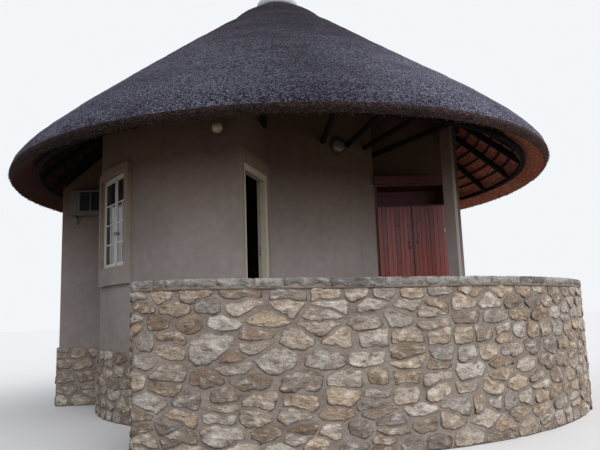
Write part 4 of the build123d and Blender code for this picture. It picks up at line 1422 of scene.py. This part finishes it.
def addCopingStone(work, tones, span, depth, mapPoint, offset, tone):
    # a squared flat stone with worn edges; mapPoint takes lengths along and across the wall and a level
    nx, ny = max(4, round((span[1] - span[0]) / coping["grain"])), coping["rows"]
    layers = []
    for share, squeeze in coping["layers"]:
        layer = []
        for i in range(nx + 1):
            row = []
            for j in range(ny + 1):
                s = span[0] + (span[1] - span[0]) * i / nx
                spot = Vector((s * 8, j * 0.4, offset + share))
                s += (squeeze + coping["chip"] * abs(noise.noise(spot))) * ((i == 0) - (i == nx))
                across = porchWall["thickness"] * j / ny
                across += (squeeze + coping["chip"] * abs(noise.noise(spot * 1.4))) * ((j == 0) - (j == ny))
                ragged = coping["ragged"] * abs(noise.noise(Vector((s * 9, j * 0.3, offset))))
                level = coping["top"] - (depth - ragged) * (1 - share)
                if share == 1:
                    level -= 0.011 * abs(noise.noise(spot * 1.2)) + 0.004 * abs(noise.noise(spot * 3.7))
                vertex = work.verts.new(mapPoint(s, across, level))
                tones[vertex] = tone
                row.append(vertex)
            layer.append(row)
        layers.append(layer)
    top, low = layers[-1], layers[0]
    for i in range(nx):
        for j in range(ny):
            work.faces.new((top[i][j], top[i + 1][j], top[i + 1][j + 1], top[i][j + 1]))
            work.faces.new((low[i][j], low[i][j + 1], low[i + 1][j + 1], low[i + 1][j]))
    for lower, upper in zip(layers, layers[1:]):
        for i in range(nx):
            for j in (0, ny):
                work.faces.new((lower[i][j], lower[i + 1][j], upper[i + 1][j], upper[i][j]))
        for j in range(ny):
            for i in (0, nx):
                work.faces.new((lower[i][j], lower[i][j + 1], upper[i][j + 1], upper[i][j]))
    loose = [v for layer in layers[1:-1] for row in layer[1:-1] for v in row[1:-1]]
    bmesh.ops.delete(work, geom=loose, context="VERTS")


def buildCoping(name, length, seed, mapPoint, replaces):
    # flat stones of uneven length laid end to end
    rng = random.Random(seed)
    work = bmesh.new()
    tones = {}
    along = seam
    while along < length - 0.05:
        width = rng.uniform(*coping["length"])
        if length - along - width < coping["shortest"]:
            width = length - seam - along
        joint = rng.uniform(*coping["joint"])
        tone = (rng.random() ** 1.3, 0.45 * rng.random(), 0.0)
        depth = rng.uniform(*coping["depth"])
        addCopingStone(work, tones, (along + joint, along + width - joint), depth, mapPoint, rng.random() * 40, tone)
        along += width
    mesh = tonedMesh(work, tones, name, True)
    addPiece(name, mesh, material=copingStone, replaces=replaces)


def buildCopings():
    wall = porchWall
    inner = wall["outer"] - wall["thickness"]

    def curved(s, across, level):
        bearing = wall["start"] + math.degrees(s / wall["outer"])
        return place(inner + across, bearing, wallLevel(level, bearing))

    length = arcLength(wall["outer"], wall["start"], wall["end"])
    frontSeed, returnSeed = coping["seeds"]
    buildCoping("coping_stones", length, frontSeed, curved, ("coping_left", "coping_right"))
    inside, outside = coping["bedInset"]
    buildMortar(
        "coping_bed", inner + inside, wall["outer"] - outside, wall["start"] + wall["endGap"], wall["end"],
        wall["height"] - 2 * seam, coping["top"] - coping["bedSink"], (), coping["bedSteps"],
    )
    outward, side = place(1, wall["end"]), place(1, wall["end"] + 90)
    near = hut["wallRadius"] + coping["hutGap"]

    def straight(s, across, level):
        spot = outward * (near + s) + side * (coping["returnShift"] - across)
        return Vector((spot.x, spot.y, wallLevel(level, wall["end"])))

    length = wall["outer"] - seam - near
    buildCoping("return_coping_stones", length, returnSeed, straight, ("coping_return",))
    low = wallLevel(wall["height"], wall["end"])
    shorter, slimmer, lower = coping["returnBed"]
    size = (length - shorter, wall["thickness"] - slimmer, wallLevel(coping["top"] - lower, wall["end"]) - low)
    centre = outward * (near + length / 2) + side * wall["thickness"] / 2
    block = (size, upright(centre, outward, low + size[2] / 2), coping["returnBevel"])
    addBlocks("return_coping_bed", (block,), mortar)


buildPorchWall()
buildReturnWall()
buildPlinth()
buildCopings()
print("stonework built")


ridgeCap = {
    "profile": (
        (0.0, 7.414), (0.082, 7.41), (0.14, 7.394), (0.205, 7.362), (0.27, 7.31), (0.336, 7.235), (0.38, 7.175),
        (0.4, 7.125), (0.406, 7.085), (0.398, 7.05), (0.38, 7.045), (0.2, 7.16), (0.0, 7.2),
    ),
    "segments": 96,
    "roughness": 0.008,
    "sideRoughness": 0.02,
}


def buildRidgeCap():
    work = bmesh.new()
    addTurned(work, ridgeCap["profile"], Matrix.Identity(4), ridgeCap["segments"])
    for vertex in work.verts:
        lump = noise.noise(vertex.co * 6) + 0.5 * noise.noise(vertex.co * 19)
        side = Vector((vertex.co.x, vertex.co.y, 0))
        vertex.co -= side * ridgeCap["sideRoughness"] * abs(lump)
        vertex.co.z -= ridgeCap["roughness"] * abs(lump)
    addPiece("ridge_cap_mortar", meshFrom(work, "ridgeCap", True), "hut", cement, ("ridge_cap",))


buildRidgeCap()


window = {
    "bearings": {"front": -55.5, "rear": 125.0},
    "width": 1.0,
    "sill": 2.15,
    "head": 3.52,
    "setback": 0.048,
    "frame": 0.036,
    "depth": 0.05,
    "sash": 0.034,
    "sashDepth": 0.034,
    "sashBack": 0.006,
    "bar": 0.02,
    "barDepth": 0.02,
    "topShare": 0.27,
    "edgeRound": 0.0035,
    "horn": 0.07,
    "footRail": 1.3,
    "meetingShare": 0.8,
    "meeting": (0.01, 0.008),
    "stay": (0.011, 0.016, 0.055),
    "stayShare": 0.36,
    "stayApart": 0.04,
    "stayOut": 0.004,
    "stayBevel": 0.003,
    "step": 0.001,
}


def buildWindow(side, bearing):
    # two casements, each with an undivided top pane over three rows of two
    spec = window
    face = hut["wallRadius"] - spec["setback"]
    across = place(1, bearing + 90)
    outward = place(1, bearing)
    base = upright(Vector((0, 0, 0)), across)
    light = (spec["width"] - 3 * spec["frame"]) / 2
    tall = spec["head"] - spec["sill"] - 2 * spec["frame"]
    foot = spec["sill"] + spec["frame"]

    def at(x, reach, z):
        centre = outward * reach + across * x
        return Matrix.Translation(Vector((centre.x, centre.y, z))) @ base

    def bar(x, z, width, height, depth, front):
        return (width, depth, height), at(x, front - depth / 2, z), spec["edgeRound"]

    middleHeight = foot + tall / 2
    blocks = []
    for end in (-1, 0, 1):
        reach = end * (spec["width"] - spec["frame"]) / 2
        height = tall + (spec["horn"] if end else 0.0)
        blocks.append(bar(reach, middleHeight, spec["frame"], height, spec["depth"], face))
    for level in (spec["sill"] + spec["frame"] / 2, spec["head"] - spec["frame"] / 2):
        width = spec["width"] - 2 * spec["frame"]
        blocks.append(bar(0, level, width, spec["frame"], spec["depth"], face - spec["step"]))
    frameNode = f"{side}_window_frame"
    addBlocks(f"{side}_window_casing", blocks, whitePaint, replaces=(frameNode,))
    sashFront = face - spec["sashBack"]
    barFront = sashFront - spec["step"]
    sash, sashDepth = spec["sash"], spec["sashDepth"]
    clearTop, clearFoot = foot + tall - sash, foot + sash
    transom = clearTop - (clearTop - clearFoot) * spec["topShare"]
    blocks = []
    for hand in (-1, 1):
        middle = hand * (light + spec["frame"]) / 2
        for end in (-1, 1):
            blocks.append(bar(middle + end * (light - sash) / 2, middleHeight, sash, tall, sashDepth, sashFront))
            level = middleHeight + end * (tall - sash) / 2
            height = sash * (spec["footRail"] if end < 0 else 1.0)
            blocks.append(bar(middle, level, light, height, sashDepth, sashFront))
        for i in range(3):
            level = transom - (transom - clearFoot) * i / 3
            blocks.append(bar(middle, level, light - sash, spec["bar"], spec["barDepth"], barFront))
        level = (transom + clearFoot) / 2
        blocks.append(bar(middle, level, spec["bar"], transom - clearFoot, spec["barDepth"], barFront))
    depth, proud = spec["meeting"]
    blocks.append(bar(0, middleHeight, spec["frame"] * spec["meetingShare"], tall, depth, face + proud))
    addBlocks(f"{side}_window_bars", blocks, whitePaint)
    level, reach = foot + tall * spec["stayShare"], face + spec["stayOut"]
    blocks = [(spec["stay"], at(hand * spec["stayApart"], reach, level), spec["stayBevel"]) for hand in (-1, 1)]
    addBlocks(f"{side}_window_stays", blocks, blackMetal)


for side, bearing in window["bearings"].items():
    buildWindow(side, bearing)
print("window frames and bars built")


def buildBoards(name, sizes, material):
    # upright boards side by side with rounded edges, from the origin along X
    layout = Layout(name, sizes)
    line = layout.node("GeometryNodeCurvePrimitiveLine", None, {"End": layout.vector(Z=layout.size("Height"))})
    section = layout.node(
        "GeometryNodeCurvePrimitiveQuadrilateral",
        {"mode": "RECTANGLE"},
        {"Width": layout.size("Board Width") - layout.size("Groove"), "Height": layout.size("Thickness")},
    )
    rounded = layout.node(
        "GeometryNodeFilletCurve",
        {"mode": "POLY"},
        {"Curve": section, "Radius": layout.size("Edge Round"), "Count": 3},
    )
    board = layout.node("GeometryNodeCurveToMesh", None, {"Curve": line, "Profile Curve": rounded, "Fill Caps": True})
    first = layout.vector(X=layout.size("Board Width") * 0.5, Y=layout.size("Thickness") * 0.5)
    step = layout.vector(X=layout.size("Board Width"))
    row = layout.node(
        "GeometryNodeMeshLine", None, {"Count": layout.size("Count"), "Start Location": first, "Offset": step}
    )
    layout.finishAs(layout.instances(row, board), material, smooth=False)
    return layout.grow(name)


cupboardDoor = {
    "Count": 8,
    "Board Width": 0.07,
    "Height": 1.19,
    "Thickness": 0.02,
    "Groove": 0.0025,
    "Edge Round": 0.0035,
}
cupboardPlace = {"left": 1.53, "right": 2.096, "front": -0.927, "foot": 1.89}
cupboardFittings = {
    "ledge": (0.5, 0.003, 0.07),
    "ledgeAt": (0.28, 0.0205),
    "ledgeBevel": 0.001,
    "ledgeLevels": (0.12, 0.6, 1.08),
    "knobAlong": {"left": 0.494, "right": 0.066},
    "knobLevel": 2.485,
    "knobSegments": 24,
    "knobProfile": (
        (0.013, 0), (0.013, 0.003), (0.006, 0.006), (0.006, 0.013), (0.012, 0.018), (0.0155, 0.023),
        (0.0145, 0.0265), (0.008, 0.028), (0, 0.0282),
    ),
    # size, place from the leaf's corner, and bevel
    "lock": ((0.055, 0.004, 0.05), (0.5, -0.002, 2.41), 0.0015),
    "catch": ((0.018, 0.008, 0.05), (0.53, -0.004, 2.68), 0.002),
}


def buildCupboardDoors():
    spec = cupboardFittings
    front = cupboardPlace["front"]
    for side in ("left", "right"):
        body = f"{side}_cupboard_leaf"
        start = cupboardPlace[side]
        boards = buildBoards(f"{side}Boards", cupboardDoor, cupboardWood)
        boards.transform(Matrix.Translation((start, front, cupboardPlace["foot"])))
        door = f"cupboard_door_{side}"
        addPiece(f"cupboard_boards_{side}", boards, body, replaces=(door,))
        x, y = spec["ledgeAt"]
        blocks = []
        for level in spec["ledgeLevels"]:
            spot = Matrix.Translation((start + x, front + y, cupboardPlace["foot"] + level))
            blocks.append((spec["ledge"], spot, spec["ledgeBevel"], 1))
        addBlocks(f"cupboard_ledges_{side}", blocks, shelfWood, body)
        turn = Matrix.Rotation(math.radians(90), 4, "X")
        spot = Matrix.Translation((start + spec["knobAlong"][side], front, spec["knobLevel"])) @ turn
        name, sides = f"cupboard_knob_{side}", spec["knobSegments"]
        addTurnedPiece(name, spec["knobProfile"], spot, sides, blackMetal, body)
    for name, side, material, slot in (
        ("lock", "left", blackMetal, "fitting_metal"), ("catch", "right", whitePaint, "pale_plastic")
    ):
        size, (x, y, z), bevel = spec[name]
        spot = Matrix.Translation((cupboardPlace[side] + x, front + y, z))
        addBlocks(f"cupboard_{name}", ((size, spot, bevel),), material, f"{side}_cupboard_leaf")


buildCupboardDoors()

entryLeaf = {
    "Count": 6,
    "Board Width": 0.1355,
    "Height": 2.032,
    "Thickness": 0.022,
    "Groove": 0.002,
    "Edge Round": 0.004,
}
entryBack = {
    "ledge": (0.79, 0.018, 0.16),
    "ledgeLevels": (0.12, 1.016, 1.92),
    "ledgeAlong": 0.4065,
    "stile": (0.09, 0.0178, 2.02),
    "stileAlong": (0.05, 0.763),
    "gap": 0.005,
    "leafInset": (0.0025, 0.007),
    "boardsOut": 0.04,
    "ledgesOut": 0.009,
    "bevel": 0.004,
}
striker = {"size": (0.004, 0.03, 0.16), "along": 1.0145, "inward": 0.1, "level": 2.3, "bevel": 0.001}


def buildEntryDoor():
    # boards on three ledges and two stiles, standing open as the source leaves it
    foot = hut["floorLevel"] + entryBack["gap"]
    way = heading(hut["doorHeading"] - hut["doorOpen"])
    out = Vector((way.y, -way.x, 0))
    x, y = entryBack["leafInset"]
    corner = Vector((*hut["doorAxis"], 0)) + way * x + out * y
    boards = buildBoards("entryBoards", entryLeaf, doorWood)
    boards.transform(upright(corner + out * entryBack["boardsOut"], way, foot))
    addPiece("entry_boards", boards, "door_leaf", replaces=("entry_door",))
    levels = entryBack["ledgeLevels"]
    rows = [(entryBack["ledge"], entryBack["ledgeAlong"], level) for level in levels]
    rows += [(entryBack["stile"], along, levels[1]) for along in entryBack["stileAlong"]]
    blocks = []
    for size, along, level in rows:
        spot = corner + out * entryBack["ledgesOut"] + way * along
        blocks.append((size, upright(spot, way, foot + level), entryBack["bevel"]))
    addBlocks("entry_ledges", blocks, doorWood, "door_leaf")
    doorWay = heading(hut["doorHeading"])
    inward = Vector((-doorWay.y, doorWay.x, 0))
    start = place(hut["wallRadius"], hut["doorCorner"]) + doorWay * striker["along"] + inward * striker["inward"]
    block = (striker["size"], upright(start, doorWay, striker["level"]), striker["bevel"])
    addBlocks("striker_plate", (block,), brightMetal)


buildEntryDoor()
print("doors boarded")


cooler = {
    "centre": -3.43,
    "bottom": 3.27,
    "width": 0.56,
    "height": 0.4,
    "projection": 0.19,
    "caseDepth": (-0.16, -0.001),
    "caseBevel": 0.008,
    "barDepth": 0.034,
    "barBevel": 0.005,
    # the front's bars from the case's left bottom corner: left, right, foot and top
    "bars": (
        (0.0, 0.56, 0.37, 0.4), (0.0, 0.56, 0.0, 0.035), (0.0, 0.16, 0.03, 0.372),
        (0.538, 0.56, 0.03, 0.372), (0.325, 0.35, 0.03, 0.372),
    ),
    "backing": (0.36, 0.004, 0.34),
    "backingAt": (0.07, 0.027),
    "slatsAt": ((0.2425, 0.014, 0.055), (0.444, 0.014, 0.055)),
    "bracketInset": 0.06,
    "bracketBevel": 0.003,
    # size of a bracket's arm and leg, each with its depth and level
    "brackets": (((0.03, 0.15, 0.03), (-0.076, -0.056)), ((0.03, 0.03, 0.12), (-0.016, -0.12))),
}
coolerSlats = {
    "Count": 11,
    "Slat Width": 0.15,
    "Slat Depth": 0.016,
    "Step": 0.029,
    "Thickness": 0.005,
    "Tilt": (0.5, 0.0, 0.0),
}


def buildCooler():
    # the case of the wall cooling unit with its panel, its grilles and the brackets below it
    spec = cooler
    left, low = spec["centre"] - spec["width"] / 2, spec["bottom"]
    front = -spec["projection"]

    def block(x0, x1, z0, z1, y0, y1, bevel):
        centre = (left + (x0 + x1) / 2, (y0 + y1) / 2, low + (z0 + z1) / 2)
        return (x1 - x0, y1 - y0, z1 - z0), Matrix.Translation(centre), bevel

    blocks = [block(0.0, spec["width"], 0.0, spec["height"], *spec["caseDepth"], spec["caseBevel"])]
    blocks += [block(*bar, front, front + spec["barDepth"], spec["barBevel"]) for bar in spec["bars"]]
    addBlocks("cooler_case", blocks, palePlastic, replaces=("cooling_unit",))
    x, y = spec["backingAt"]
    spot = Matrix.Translation((spec["centre"] + x, front + y, low + spec["height"] / 2))
    addBlocks("cooler_backing", ((spec["backing"], spot, 0.0),), darkPlastic)
    layout = Layout("coolerSlats", coolerSlats)
    size = layout.vector(X=layout.size("Slat Width"), Y=layout.size("Slat Depth"), Z=layout.size("Thickness"))
    slat = layout.node("GeometryNodeMeshCube", None, {"Size": size}, "Mesh")
    tilted = layout.node("GeometryNodeTransform", None, {"Geometry": slat, "Rotation": layout.size("Tilt")})
    rise = layout.vector(Z=layout.size("Step"))
    column = layout.node("GeometryNodeMeshLine", None, {"Count": layout.size("Count"), "Offset": rise})
    layout.finishAs(layout.instances(column, tilted), darkPlastic, smooth=False)
    for index, (x, y, z) in enumerate(spec["slatsAt"]):
        mesh = layout.grow(f"slats{index}")
        mesh.transform(Matrix.Translation((left + x, front + y, low + z)))
        addPiece(f"cooler_slats_{index}", mesh)
    blocks = []
    for x in (left + spec["bracketInset"], left + spec["width"] - spec["bracketInset"]):
        for size, (y, z) in spec["brackets"]:
            blocks.append((size, Matrix.Translation((x, y, low + z)), spec["bracketBevel"]))
    addBlocks("cooler_brackets", blocks, palePlastic)


buildCooler()


bulkhead = {
    "level": 4.04,
    "along": 1.305,
    "radius": 0.144,
    "depth": 0.045,
    # the ring: distance in from the radius and share of the depth
    "ring": ((0.0, 0.0), (0.0, 0.65), (0.006, 0.92), (0.018, 1.0), (0.028, 0.95), (0.03, 0.4), (0.144, 0.4)),
    "bowlInset": 0.031,
    "bowlFoot": 0.42,
    "bowlRise": 0.95,
    "segments": 48,
}
globeLamp = {
    "bearing": -15.5,
    "level": 3.8,
    "segments": (32, 36),
    "radius": 0.072,
    "centre": 0.1275,
    "base": ((0.031, 0), (0.031, 0.012), (0.02, 0.018), (0.02, 0.05), (0.03, 0.056), (0.03, 0.07), (0, 0.07)),
}


def buildLamps():
    spec, slot = bulkhead, "pale_plastic"
    start, along, outward = porchLines()
    spot = facing(start + along * spec["along"], along, outward, spec["level"])
    rim, deep, rise = spec["radius"], spec["depth"], spec["bowlRise"]
    profile = [(rim - inset, share * deep) for inset, share in spec["ring"]]
    addTurnedPiece("porch_lamp_ring", profile, spot, spec["segments"], dullMetal, replaces=("porch_lamp",))
    bowl = rim - spec["bowlInset"]
    turns = [math.radians(a) for a in range(15, 90, 15)]
    profile = [(bowl, spec["bowlFoot"] * deep), (bowl, deep)]
    profile += [(bowl * math.cos(a), deep * (1 + rise * math.sin(a))) for a in turns] + [(0, (1 + rise) * deep)]
    addTurnedPiece("porch_lamp_glass", profile, spot, spec["segments"], dullGlass)

    bearing, radius, centre = globeLamp["bearing"], globeLamp["radius"], globeLamp["centre"]
    face = place(hut["wallRadius"], bearing)
    spot = facing(face, place(1, bearing + 90), place(1, bearing), globeLamp["level"])
    few, many = globeLamp["segments"]
    addTurnedPiece("globe_lamp_base", globeLamp["base"], spot, few, blackMetal, replaces=("globe_lamp",))
    turns = [math.radians(a) for a in range(15, 180, 15)]
    profile = [(radius * math.sin(a), centre - radius * math.cos(a)) for a in turns]
    profile = [(0, centre - radius), *profile, (0, centre + radius)]
    addTurnedPiece("globe_lamp_glass", profile, spot, many, lampGlass)


buildLamps()
print("fittings built")


view = {  # the photo's camera: place in metres, angles in degrees
    "place": (-0.136, -10.6, 1.35),
    "pitch": 8.69,
    "yaw": 2.27,
    "roll": -2.0,
    "lens": 36.0,
    "sensor": 36.0,
    "reach": 500.0,
}


def addCamera():
    pitch, yaw, roll = (math.radians(view[key]) for key in ("pitch", "yaw", "roll"))
    forward = Vector((math.sin(yaw) * math.cos(pitch), math.cos(yaw) * math.cos(pitch), math.sin(pitch)))
    level = Vector((math.cos(yaw), -math.sin(yaw), 0))
    up = level.cross(forward)
    right = level * math.cos(roll) + up * math.sin(roll)
    top = up * math.cos(roll) - level * math.sin(roll)
    data = bpy.data.cameras.new("camera")
    data.lens = view["lens"]
    data.sensor_width = view["sensor"]
    data.sensor_fit = "HORIZONTAL"
    data.clip_end = view["reach"]
    camera = bpy.data.objects.new("camera", data)
    camera.matrix_world = fromColumns(right, top, -forward, view["place"])
    bpy.context.scene.collection.objects.link(camera)
    bpy.context.scene.camera = camera


studio = {
    "floorHalf": 160.0,
    "floorDrop": 0.001,
    "floorSeen": (0.8, 0.79, 0.77),
    "floorBounce": (0.2, 0.17, 0.14),
    "skySeen": (0.9, 0.92, 0.95),
    "skyLight": (0.86, 0.9, 1.0),
    "skyStrength": 0.72,
    "lightAngle": 70.0,
    "lights": (
        ("softKey", 1.9, (60.0, 0.0, 32.0)),
        ("rearRight", 1.1, (62.0, 0.0, 118.0)),
    ),
}


def showAs(writer, shown, lighting, ending):
    # one shader for what is seen, straight or in metal and glass, and another for the light that it sends
    ray = writer.node("ShaderNodeLightPath", None, None, "Is Camera Ray")
    others = writer.sibling(ray, "Is Glossy Ray") + writer.sibling(ray, "Is Transmission Ray")
    seen = writer.node("ShaderNodeMath", {"operation": "ADD", "use_clamp": True}, {0: ray, 1: others})
    both = writer.node("ShaderNodeMixShader", None, {0: seen, 1: lighting, 2: shown})
    end = writer.tree.nodes.new(ending)
    writer.tree.links.new(both.socket, end.inputs["Surface"])


def addStudio():
    mesh = bpy.data.meshes.new("floor")
    half = studio["floorHalf"]
    mesh.from_pydata([(-half, -half, 0), (half, -half, 0), (half, half, 0), (-half, half, 0)], [], [(0, 1, 2, 3)])
    floor = bpy.data.objects.new("floor", mesh)
    floor.location.z = -studio["floorDrop"]
    bpy.context.scene.collection.objects.link(floor)
    material = bpy.data.materials.new("floorPaint")
    material.use_nodes = True
    writer = Writer(material.node_tree)
    writer.tree.nodes.clear()
    pale = writer.node("ShaderNodeBsdfDiffuse", None, {"Color": studio["floorSeen"]})
    dull = writer.node("ShaderNodeBsdfDiffuse", None, {"Color": studio["floorBounce"]})
    showAs(writer, pale, dull, "ShaderNodeOutputMaterial")
    mesh.materials.append(material)

    world = bpy.data.worlds.new("sky")
    world.use_nodes = True
    writer = Writer(world.node_tree)
    writer.tree.nodes.clear()
    shown = writer.node("ShaderNodeBackground", None, {"Color": studio["skySeen"], "Strength": 1.0})
    inputs = {"Color": studio["skyLight"], "Strength": studio["skyStrength"]}
    showAs(writer, shown, writer.node("ShaderNodeBackground", None, inputs), "ShaderNodeOutputWorld")
    bpy.context.scene.world = world

    for name, strength, turn in studio["lights"]:
        data = bpy.data.lights.new(name, "SUN")
        data.energy = strength
        data.angle = math.radians(studio["lightAngle"])
        light = bpy.data.objects.new(name, data)
        light.rotation_euler = tuple(math.radians(v) for v in turn)
        bpy.context.scene.collection.objects.link(light)


addCamera()
addStudio()
bpy.context.scene.view_settings.view_transform = "Standard"

print("pieces placed")
